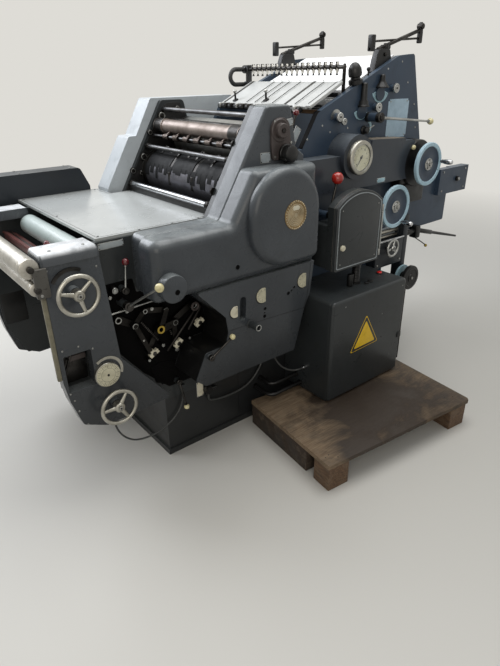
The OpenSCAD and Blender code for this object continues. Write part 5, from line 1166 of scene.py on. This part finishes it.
for z, widths in ((520, (54, 54, 54, 78, 78)), (404, (62, 62, 62, 44, 44, 44))):
    gear.append((drawn_steel, block((44, -406, z - 17), (436, -398, z + 17), 1)))
    gear.append((cream_nylon, block((36, -434, z + 54), (444, -398, z + 72), 2)))
    x = 56
    for w in widths:
        gear += [(black_plastic, block((x, -470, z - 38), (x + w, -405, z + 38), 4)),
                 (cream_nylon, block((x + 8, -484, z - 17), (x + w - 8, -468, z + 17), 3))]
        gear += screw(x + w / 3, -470, z + 29, 3.4, 1.6) + screw(x + w * 2 / 3, -470, z - 29, 3.4, 1.6)
        x += w + 4
gear.append((cream_nylon, block((36, -434, 316), (444, -398, 334), 2)))
for k in range(16):
    gear.append((cream_nylon if k % 5 else black_plastic, block((200 + 15 * k, -440, 214), (213 + 15 * k, -398, 262), 2)))
    gear.append((brass, place(bead(3.2, 0, 3, 0.6, 14), (206.5 + 15 * k, -439, 252))))
for x, z in ((36, 186), (444, 186), (36, 590), (444, 590)):
    gear += screw(x, -399, z, 6, 3)
piece("cabinet_switchgear", gear, body=body_of["cabinet_body"])
leaf_pts = [[-20, 136.4, 12], [499, 136.4, 12], [499, 645, 20], [-20, 645, 20]]
leaf = [(dark_enamel, place(slab(leaf_pts, 658.4, 680, 13, 0, 10, 8), (0, 0, 0))),
        (oily_steel, bar((506, -669, 222.4), (506, -669, 552), 5.9)),
        (dark_enamel, block((486, -672, 222.4), (506, -666, 552), 1)),
        (black_japan, block((470, -684, 325), (498, -679.5, 353), 3))]
piece("cabinet_leaf", leaf, "cabinet_door")
sign = [[112, 354], [313, 361], [214, 527]]
mid = np.array(sign, float).mean(0)
plates = [(sign_yellow, 1.0, 0, 0.8), (sign_black, 0.95, 0.7, 1.1), (sign_yellow, 0.75, 1.0, 1.4)]
made = []
for m, k, c0, c1 in plates:
    pts = mid + (np.array(sign) - mid) * k
    made.append((m, place(slab([[*p, 7 * k] for p in pts], c0, c1, 0.2), (0, -680, 0))))
piece("cabinet_sign", made, body=body_of["cabinet_door"])
bits = screw(60, -680, 610, 3, 1.2) + screw(470, -680, 610, 3, 1.2) + screw(330, -680, 500, 2.4, 1)
piece("cabinet_screws", bits, body=body_of["cabinet_door"])

# pallet
ang = math.radians(-6)
PALLET = ((math.cos(ang), math.sin(ang), 0), (-math.sin(ang), math.cos(ang), 0))
corner = (-342, -999, 0)
deck = [(deck_wood, place(slab([[0, 3, 6], [300, 0, 2], [600, 2, 2], [868, 0, 3], [880, 14, 6], [880, 580, 3],
                                [0, 580, 3]], 110, 130, 1.6, 1.2, 5), corner, PALLET))]
for u, v, w, d in ((2, 2, 108, 98), (752, 2, 106, 98), (2, 150, 86, 428), (396, 150, 88, 428), (771, 150, 88, 428)):
    # painted shade: the runners further in get the near black copy of the runner wood
    deck.append((runner_wood if v < 9 else shaded_runner_wood, place(slab([[u, v, 4], [u + w, v, 4], [u + w, v + d, 4], [u, v + d, 4]], 0.2, 110.4,
                                         2, 2, 4), corner, PALLET)))
for u in (24, 46, 70, 430, 458, 790, 830, 805):
    deck.append((oily_steel, place(bead(3, 129.6, 130.5, 0.4, 12), np.array(corner)
                                   + u * np.array(PALLET[0] ) + (30 + u % 7 * 8) * np.array(PALLET[1]), TOP)))
piece("pallet_worn", deck, "pallet")

# feeder side plate
def cone_dial(name, x, z, high, foot_r, shaft_r, band, c=-OUTER_Y):
    """Black conical setting dial with a collar, over a pale arc scale with fine marks."""
    bx, bz, r0, r1, first, last = band
    form = turned([[0, 0], [foot_r, 0], [foot_r, 5], [foot_r * 0.8, 12], [shaft_r * 1.4, 22], [shaft_r, 30],
                   [shaft_r * 0.86, high - 4], [shaft_r * 0.6, high], [0, high]], 48)
    marks = ticks(20, first + 6, last - first - 12, r0 + 4, r1 - 4, 0.8, 2.2)
    parts = [(black_plastic, place(form, (x, c - 12, z), TOP)),
             (scale_blue, place(arc_band(r0, r1, first, last, 0, 2.2), (bx, c, bz))),
             (dial_ink, place(marks, (bx, c, bz)))]
    piece(name, parts)


def silver_knob(name, x, z, r=21, reach=24):
    """Round bright knob with a knurled rim and a dark set screw, on its stem."""
    n = 40
    t = np.linspace(0, 2 * np.pi, 2 * n, endpoint=False)
    rr = r * (1 - 0.035 * (np.arange(2 * n) % 2))
    rings = [np.stack([k * rr * np.cos(t), k * rr * np.sin(t), np.full(2 * n, c)], -1)
             for k, c in ((0.92, reach - 4), (1, reach - 2.5), (1, reach + 6), (0.92, reach + 7.5), (0.5, reach + 8))]
    parts = [(drawn_steel, place(skin(np.array(rings)), (x, -OUTER_Y, z))),
             (drawn_steel, place(bead(r * 0.5, 0, reach, 1, 28), (x, -OUTER_Y, z))),
             (dull_rod, place(ring(r * 0.62, reach + 7.6, 1.2, 0.8, 40, 8), (x, -OUTER_Y, z))),
             (oily_steel, place(bead(r * 0.22, reach + 7, reach + 10, 0.6, 20), (x, -OUTER_Y, z)))]
    piece(name, parts)


cone_dial("scale_dial_upper", 552, 1482, 56, 32, 13, (557, 1478, 26, 60, 200, 340))
cone_dial("scale_dial_lower", 430, 1406, 100, 27, 15, (429, 1400, 22, 50, 200, 335))
silver_knob("silver_knob_upper", 640, 1478)
silver_knob("silver_knob_lower", 522, 1400)
silver_knob("silver_knob_small", 262, 1372, 20)
silver_knob("silver_knob_pair", 288, 1352, 15, 27)
piece("silver_arc", [(drawn_steel, place(arc_band(15, 31, 30, 200, 0, 4), (262, -OUTER_Y, 1372)))])
piece("small_scale", [(scale_blue, place(arc_band(18, 30, -75, 75, 0, 2.4), (482, -OUTER_Y, 1316))),
                      (black_plastic, place(turned([[0, 0], [20, 0], [20, 6], [15, 10], [15, 26], [11, 30], [0, 30]], 36),
                                            (456, -OUTER_Y, 1304))),
                      (drawn_steel, bar((456, -OUTER_Y - 18, 1304), (510, -OUTER_Y - 18, 1322), 3))])
notch = [[-71, -88, 1], [71, -88, 1], [71, -79, 1], [80, -79, 1], [80, 79, 1], [71, 79, 1], [71, 88, 1],
         [-71, 88, 1], [-71, 79, 1], [-80, 79, 1], [-80, -79, 1], [-71, -79, 1]]
board_axes = ((1, 0, -0.012), (0.012, 0, 1))
plate_parts = [(plate_blue, place(slab(notch, 0, 1.6, 0.4), (705, -OUTER_Y, 1341), board_axes))]
for u in (-64, 64):
    for v in (-78, 78):
        plate_parts += screw(705 + u, -OUTER_Y - 1.6, 1341 + v, 3.4, 1.6)
piece("instruction_plate_blank", plate_parts)
piece("lever_hub_black", [(black_plastic, place(turned([[0, 0], [21, 0], [21, 18], [18, 22], [18, 44], [14, 50],
                                                        [0, 50]], 48), (478, -OUTER_Y, 1360)))])
stack = turned([[0, 0], [31, 0], [32, 4], [32, 18], [22, 22], [22, 29], [29, 34], [31, 45], [29, 64], [20, 80],
                [10, 88], [0, 90]], 40)
piece("edge_knobs", [(black_japan, place(stack, (404, -350, 1500), ((1, 0, 0.2), (0, 1, 0)))),
                     (black_plastic, bar((484, -352, 1530), (482, -352, 1556), 4)),
                     (black_plastic, place(ball(9), (482, -352, 1560)))])
spots = []
for x, z in ((345, 1320), (310, 1286), (230, 1310), (180, 1340), (600, 1560), (700, 1590), (760, 1500),
             (830, 1400), (860, 1290), (560, 1262), (90, 1290)):
    spots += screw(x, -OUTER_Y, z, 4, 2)
piece("feeder_plate_screws", spots)
piece("beam_dust", [(tan_dust, place(slab([[436, 1266.4, 1], [684, 1256.6, 1], [684, 1258.4, 1], [436, 1270.4, 1]],
                                           374, 447, 1), (0, 0, 0)))])
label("beam_label", (520, -BEAM_Y, 1077), (62, 22), 0, finish=scale_blue)
recess = [(black_japan, place(turned([[0, 0], [116, 0], [116, 70], [112, 76], [60, 78], [0, 78]], 72),
                              (818, -OUTER_Y, 1124))),
          (black_japan, block((720, -440, 925), (905, -371, 1030), 10)),
          (black_japan, block((705, -432, 1000), (800, -371, 1105), 12)),
          (cream_ball, place(ball(12), (752, -452, 1208))), (oily_steel, bar((775, -440, 1185), (754, -450, 1204), 4))]
piece("wheel_recess", recess)
handle_bits = [(oily_steel, place(bead(14, 0, 12, 2, 28), (1290, -395, 985))),
               (drawn_steel, place(nut(9, 12, 18), (1290, -395, 985)))]
for x in (1150, 1370):
    for z in (930, 1035):
        handle_bits += screw(x, -395, z, 5, 3)
piece("shelf_screws", handle_bits)

# painted shade: the feeder plate's leaning front edge is covered in near black with almost no gloss
side_band("feeder_front_edge", [(61, 1256), (61, 1252), (150, 1394), (166, 1401)], INNER_Y, OUTER_Y, shade_black, 0.6)

# feed board with its tapes, rods and stops
SLOPE = math.radians(25.3)
BOARD = ((math.cos(SLOPE), 0, math.sin(SLOPE)), (0, 1, 0))
BOARD_AT = (130, 0, 1418)


def on_board(part):
    """Puts a part drawn in length, side and height on the feed board."""
    return place(part, BOARD_AT, BOARD)


def straight(lo, hi, edge=0.6):
    """A rounded block drawn as its own length, side and height."""
    (x0, y0, z0), (x1, y1, z1) = lo, hi
    return slab([[x0, y0, edge], [x1, y0, edge], [x1, y1, edge], [x0, y1, edge]], z0, z1, edge, edge, 3, 3)


feed = [(white_board, on_board(straight((0, -310, -14), (221, 310, 0), 1.5)))]
for y in (286, -168):
    feed.append((tape_black, on_board(straight((3, y - 8, 0), (220, y + 8, 1.6), 0.5))))
for y in (105, 42, -7, -86, -240):
    feed += [(oily_steel, on_board(tube([(8, y, 5), (110, y, 6), (205, y, 5)], 1.8, 8, (0, 1, 0.1)))),
             (drawn_steel, on_board(tube([(205, y, 5), (212, y + 6, 9), (208, y + 12, 12)], 1.6, 8)))]
for s0, y in ((34, -12), (22, 214)):
    feed += [(black_japan, on_board(bar((s0, y, 0), (s0 + 14, y, 34), 5))),
             (drawn_steel, on_board((ball(9)[0] + (s0 + 16, y, 40), ball(9)[1]))),
             (black_japan, on_board(straight((s0 - 10, y - 12, 0), (s0 + 12, y + 12, 7), 2)))]
feed += [(white_board, on_board(straight((2, -341, -10), (236, -316, 3), 1))),
         (black_japan, on_board(straight((20, -317, -4), (214, -311, 4), 1))),
         (black_japan, place(bead(13, 0, 600, 2, 32), (112, 300, 1404)))]
for k in range(13):
    y = -276 + 46 * k
    feed.append((oily_steel if k % 3 else drawn_steel, block((92, y - 8, 1398), (126, y + 8, 1420), 3)))
for s0 in (70, 180):
    x, z = 130 + s0 * math.cos(SLOPE) + 40 * math.sin(SLOPE), 1418 + s0 * math.sin(SLOPE) - 40 * math.cos(SLOPE)
    feed.append((dull_rod, cross_roll(x, z, 10, -345, 345)))
    for y in (-200, 180):
        feed.append((oily_steel, on_board(straight((s0 - 6, y, -40), (s0 + 6, y + 20, -13.5), 1))))
piece("feed_board_taped", feed, "feed_board")

# sucker bar
bell = turned([[0, 20], [5, 20], [7, 16], [7, 4], [9.5, 1], [9.5, -12], [7, -17], [6, -24], [0, -24]], 24)
foot = turned([[0, -24], [4, -24], [4, -29], [8.4, -32.6], [7, -33], [0, -30]], 20)
suckers = [(oily_steel, cross_roll(335, 1570, 9, -345, 345)),
           (dark_iron, place(slab([[327, 1410, 2], [343, 1410, 2], [343, 1560, 6], [340, 1584, 7], [330, 1584, 7],
                                   [327, 1560, 6]], 335, 344, 2, 2), (0, 0, 0))),
           (black_japan, block((320, 326, 1410), (350, 345, 1590), 4)),
           (black_japan, place(bead(20, 0, 30, 2, 36), (335, 375, 1570)))]
for y in np.linspace(-296, 296, 17):
    suckers += [(white_nylon, place(bell, (335, y, 1570), TOP)), (black_plastic, place(foot, (335, y, 1570), TOP)),
                (oily_steel, place(ring(12, 0, 3, 5, 28, 10), (335, y, 1570)))]
    suckers.append((oily_steel, block((326, y - 3, 1584), (344, y + 3, 1592), 1)))
piece("sucker_bar_dressed", suckers, "sucker_bar")

# paper pile and its guides
rise = math.tan(math.radians(22.9))
stacks = []
for k, (lo, hi, dx, dy) in enumerate(((-90, -66, 2, -1), (-66.2, -41, 0.6, 2), (-41.2, -14, 3, 0), (-14.2, -0.2, 0, 1))):
    x0, x1 = 373 + dx, 718 + dx * 0.5
    o = [[x0, 1475 + (x0 - 372) * rise + lo, 0.5], [x1, 1475 + (x1 - 372) * rise + lo, 0.5],
         [x1, 1475 + (x1 - 372) * rise + hi, 0.5], [x0, 1475 + (x0 - 372) * rise + hi, 0.5]]
    stacks.append((paper_white, place(slab(o, -303 + dy, 303 + dy, 0.4, 0.4, 3, 2), (0, 0, 0))))
piece("paper_pile_layers", stacks, "paper_pile")


def pile_guide_parts():
    """Side guide at the operator side: a cast clamp, two rods, a turned post and a hinge block."""
    clamp = slab([[531, 1541, 8], [649, 1541, 8], [649, 1600, 12], [636, 1644, 14], [562, 1644, 10],
                  [545, 1604, 20]], 310, 344.6, 3, 3)
    head = slab([[860, 1670, 6], [884, 1670, 6], [884, 1715, 4], [878, 1760, 8], [866, 1760, 8], [860, 1715, 4]],
                320, 338, 3, 3)
    parts = [(black_japan, place(clamp, (0, 0, 0))), (oily_steel, bar((560, -329, 1640), (880, -329, 1730), 8.5)),
             (oily_steel, bar((520, -329, 1672), (872, -329, 1692), 4.8)),
             (black_japan, block((506, -344, 1632), (530, -314, 1699), 5)),
             (black_japan, block((506, -336, 1632), (531, -322, 1650), 3)),
             (black_japan, place(head, (0, 0, 0))), (oily_steel, place(bead(13, 0, 30, 2, 28), (872, -314, 1742))),
             (oily_steel, place(nut(9, 0, 6), (600, -344.6, 1620))),
             (black_japan, place(bead(12, 0, 22, 2, 28), (622, -329, 1645), TOP)),
             (black_japan, block((590, -336, 1642), (650, -318, 1660), 5))]
    return parts


guides = pile_guide_parts()
piece("pile_guides_clamped", guides + [(m, mirrored(p)) for m, p in guides], "pile_guides")

# pile drive under the feeder
drive = [(navy_enamel, block((560, -431.6, 600), (788, -370, 739.6), 6)),
         (bright_steel, bar((566, -432, 745), (786, -432, 745), 6)),
         (navy_enamel, block((785, -431.6, 505.4), (825, -370, 860), 6)),
         (bright_steel, place(bead(16, 0, 11, 2, 32), (653, -431, 712))),
         (bright_steel, place(bead(8.8, 0, 28, 1, 24), (653, -431, 712))),
         (oily_steel, place(bead(22, 0, 56.8, 2, 36), (792, -431, 523))),
         (oily_steel, place(bead(8.9, 0, 68, 1, 24), (792, -431, 523))),
         (scale_blue, place(turned([[0, 0], [58, 0], [60, 2], [60, 11], [59, 12], [40, 12], [38, 9], [0, 9]], 72),
                            (792, -440, 523))),
         (dial_ink, place(ticks(60, 0, 360, 49, 57, 0.8, 11.9), (792, -440, 523))),
         (black_plastic, bar((820, -405, 745), (945, -405, 745), 15)),
         (black_plastic, block((906, -430, 706), (944.8, -380, 775), 8)),
         (black_plastic, bar((940, -405, 745), (1090, -405, 705), 12.8)),
         (black_plastic, tube([(1080, -405, 707.7), (1220, -405, 670.4), (1360, -405, 633)], [9, 8, 6], 20, (0, 1, 0))),
         (oily_steel, tube(path_through([(925, -405, 708), (955, -407, 690), (1000, -410, 664), (1040, -410, 640)], 10),
                           3, 10)),
         (yellow_ring, place(ball(9), (1043, -410, 636))),
         (drawn_steel, bar((770, -440, 455), (842, -440, 462), 5))]
for x, z in ((580, 620), (580, 720), (770, 620), (700, 655)):
    drive += screw(x, -431.6, z, 5, 3)
piece("pile_drive_fitted", drive, "pile_drive")
# painted light: the pale enamel band stands for the bright background seen through beside the pile drive
rails = [(pale_enamel, block((546, -378, 744), (786, -370.4, 796), 2)),
         (satin_rail, bar((548, -386, 778), (784, -386, 778), 11)),
         (satin_rail, bar((548, -386, 750), (784, -386, 750), 8))]
rails += [(navy_enamel, block((x, -400, 740), (x + 14, -370.5, 796), 2)) for x in (540, 778)]
piece("feeder_side_rail", rails)

# drive side
DRIVE = 500
for name, x0, x1, z0, z1 in (("left", -872, -420, 620, 1010), ("right", -396, 222, 430, 1010),
                             ("top", -330, 20, 1070, 1270)):
    seam("drive_door_" + name, [(-x0, z0), (-x1, z0), (-x1, z1), (-x0, z1), (-x0, z0)], DRIVE, 2.4, 0.5, BACK)
doors = []
for x, z in ((-850, 980), (-850, 680), (-445, 980), (-445, 650), (-370, 980), (-370, 460), (196, 980), (196, 460),
             (-300, 1095), (-300, 1240), (-8, 1095), (-8, 1240), (140, 1410), (140, 1090), (-220, 1400)):
    doors += screw(x, DRIVE, z, 5.5, 3, BACK)
for x, z in ((-640, 960), (-90, 960)):
    doors += [(black_plastic, place(turned([[0, 0], [24, 0], [24, 6], [14, 10], [14, 22], [20, 28], [20, 36], [0, 38]],
                                           40), (x, DRIVE, z), BACK))]
for k in range(9):
    for x in (-300, 20):
        doors.append((navy_enamel, block((x, DRIVE - 2, 480 + 20 * k), (x + 160, DRIVE + 7, 491 + 20 * k), 3)))
        # painted shade: black strips in the gaps between the louvre slats
        doors.append((shade_black, block((x + 4, DRIVE, 476.6 + 20 * k), (x + 156, DRIVE + 4, 480.4 + 20 * k), 0.4)))
for x, z, r in ((-160, 1170, 62), (100, 1260, 44), (-640, 800, 70)):
    cap_form = turned([[0, 0], [r, 0], [r, 7], [r - 3, 10], [r * 0.5, 11], [r * 0.45, 15], [0, 15]], 64)
    doors.append((pale_enamel if z > 1050 else navy_enamel, place(cap_form, (x, DRIVE, z), BACK)))
    for t in np.radians(range(30, 390, 60)):
        doors += screw(x + (r - 9) * math.cos(t), DRIVE + 10, z + (r - 9) * math.sin(t), 3, 1.6, BACK)
for x in (-1130, -880, -640):
    doors += screw(x, 606, 1150, 5, 2.8, TOP) + screw(x, 524, 1150, 5, 2.8, TOP)
piece("drive_side_fittings", doors)
rear = []
for x, z, r, k in ((822, 1125, 44, 26), (589, 946, 44, 26), (478, 1360, 26, 18), (700, 720, 30, 20)):
    rear += shaft_end(x, OUTER_Y, z, r, k, BACK, blue_enamel)
    rear.append((drawn_steel, place(nut(r * 0.42, k * 0.7, k + 6, 10), (x, OUTER_Y, z), BACK)))
for x, z in ((345, 1320), (310, 1286), (600, 1560), (700, 1590), (760, 1500), (830, 1400), (860, 1290), (90, 1290),
             (420, 420), (660, 420), (420, 330), (660, 330), (1150, 985), (1180, 930)):
    rear += screw(x, OUTER_Y, z, 5, 2.6, BACK)
for x in (-600, -200, 300, 700, 860):
    rear += screw(x, OUTER_Y, 60, 7, 4, BACK) + screw(x, OUTER_Y, 260, 7, 4, BACK)
piece("drive_side_bearings", rear)
for z in (1470, 1540):
    seam("feeder_rail_" + str(z), [(-560, z), (-700, z + 20)], OUTER_Y, 2, 0.5, BACK)

# light, floor and camera
PALE = "#dedcd6"
world = bpy.data.worlds.new("studio")
bpy.context.scene.world = world
world.use_nodes = True
wt = world.node_tree
wt.nodes.clear()


def looking_rays(tree):
    """1 for rays from the camera, through glass or off a mirror-like face, 0 for the light that falls on things."""
    ray = add(tree, "LightPath")
    share = ray.outputs["Is Camera Ray"]
    for kind in ("Is Glossy Ray", "Is Transmission Ray"):
        share = add(tree, "Math", {0: share, 1: ray.outputs[kind]}, operation="MAXIMUM").outputs[0]
    return share


backdrop = add(wt, "Background", {"Color": colour(PALE), "Strength": 1.0})
fill = add(wt, "Background", {"Color": colour("#e4e9ee"), "Strength": 0.4})
either = add(wt, "MixShader", {0: looking_rays(wt), 1: fill.outputs[0], 2: backdrop.outputs[0]})
add(wt, "OutputWorld", {"Surface": either.outputs[0]})


def softbox(name, at, aim, size, power, tint="#ffffff"):
    """A square area lamp that looks from one point to another, in metres."""
    lamp = bpy.data.lights.new(name, "AREA")
    lamp.shape, lamp.size, lamp.energy = "SQUARE", size, power
    lamp.color = colour(tint)[:3]
    o = bpy.data.objects.new(name, lamp)
    bpy.context.scene.collection.objects.link(o)
    back = unit(np.array(at, float) - np.array(aim, float))
    side = unit(np.cross((0, 0, 1), back))
    rows = np.stack([side, np.cross(back, side), back, np.array(at, float)], 1)
    o.matrix_world = Matrix([[*r] for r in np.vstack([rows, [0, 0, 0, 1]]).tolist()])


softbox("window_light", (-1.6, 2.2, 3.4), (-0.2, 0, 1.0), 2.6, 128, "#f3f7ff")
softbox("top_light", (0.4, -0.4, 3.6), (0.1, 0, 0.8), 2.4, 62)
softbox("room_fill", (-2.6, -3.2, 2.2), (0, 0, 0.8), 2.2, 30, "#fff6ea")

floor = web(np.stack(np.broadcast_arrays(np.linspace(-30, 30, 3)[:, None] / MM,
                                         np.linspace(-30, 30, 3)[None, :] / MM, 0.0), -1))
floor_paint, ft, fs = blank("pale_floor", "grey_enamel", Base_Color=colour("#cfccc4"), Roughness=0.7)
far = add(ft, "VectorMath", {0: add(ft, "TexCoord").outputs["Object"]}, operation="LENGTH").outputs["Value"]
share = add(ft, "Math", {0: looking_rays(ft), 1: spread(ft, far, 2.2, 6.0)}, operation="MULTIPLY").outputs[0]
haze = add(ft, "Emission", {"Color": colour(PALE), "Strength": 1.0})
both = add(ft, "MixShader", {0: share, 1: fs.outputs[0], 2: haze.outputs[0]})
ft.links.new(both.outputs[0], next(n for n in ft.nodes if n.type == "OUTPUT_MATERIAL").inputs[0])
mesh = bpy.data.meshes.new("floor")
mesh.from_pydata(floor[0] * MM, [], floor[1])
mesh.materials.append(floor_paint)
ground = bpy.data.objects.new("floor", mesh)
bpy.context.scene.collection.objects.link(ground)

# The camera stands left of the operator, at eye height, and looks down along the machine.
YAW, PITCH, ROLL = (math.radians(a) for a in (51.7075, 26.412, -0.9074))
FOCAL_PX, FRAME_H_PX, SENSOR = 522.55, 666, 36.0
look = np.array([math.cos(PITCH) * math.cos(YAW), math.cos(PITCH) * math.sin(YAW), -math.sin(PITCH)])
right = np.array([math.sin(YAW), -math.cos(YAW), 0])
above = np.cross(right, look)
right_r = math.cos(ROLL) * right + math.sin(ROLL) * above
above_r = -math.sin(ROLL) * right + math.cos(ROLL) * above
camera = bpy.data.objects.new("camera", bpy.data.cameras.new("camera"))
bpy.context.scene.collection.objects.link(camera)
camera.data.sensor_width = SENSOR
camera.data.lens = FOCAL_PX / FRAME_H_PX * SENSOR
turn = np.stack([right_r, above_r, -look, (-1.60, -2.09, 1.55)], 1)
camera.matrix_world = Matrix([[*r] for r in np.vstack([turn, [0, 0, 0, 1]]).tolist()])
bpy.context.scene.camera = camera
bpy.context.scene.view_settings.view_transform = "Standard"
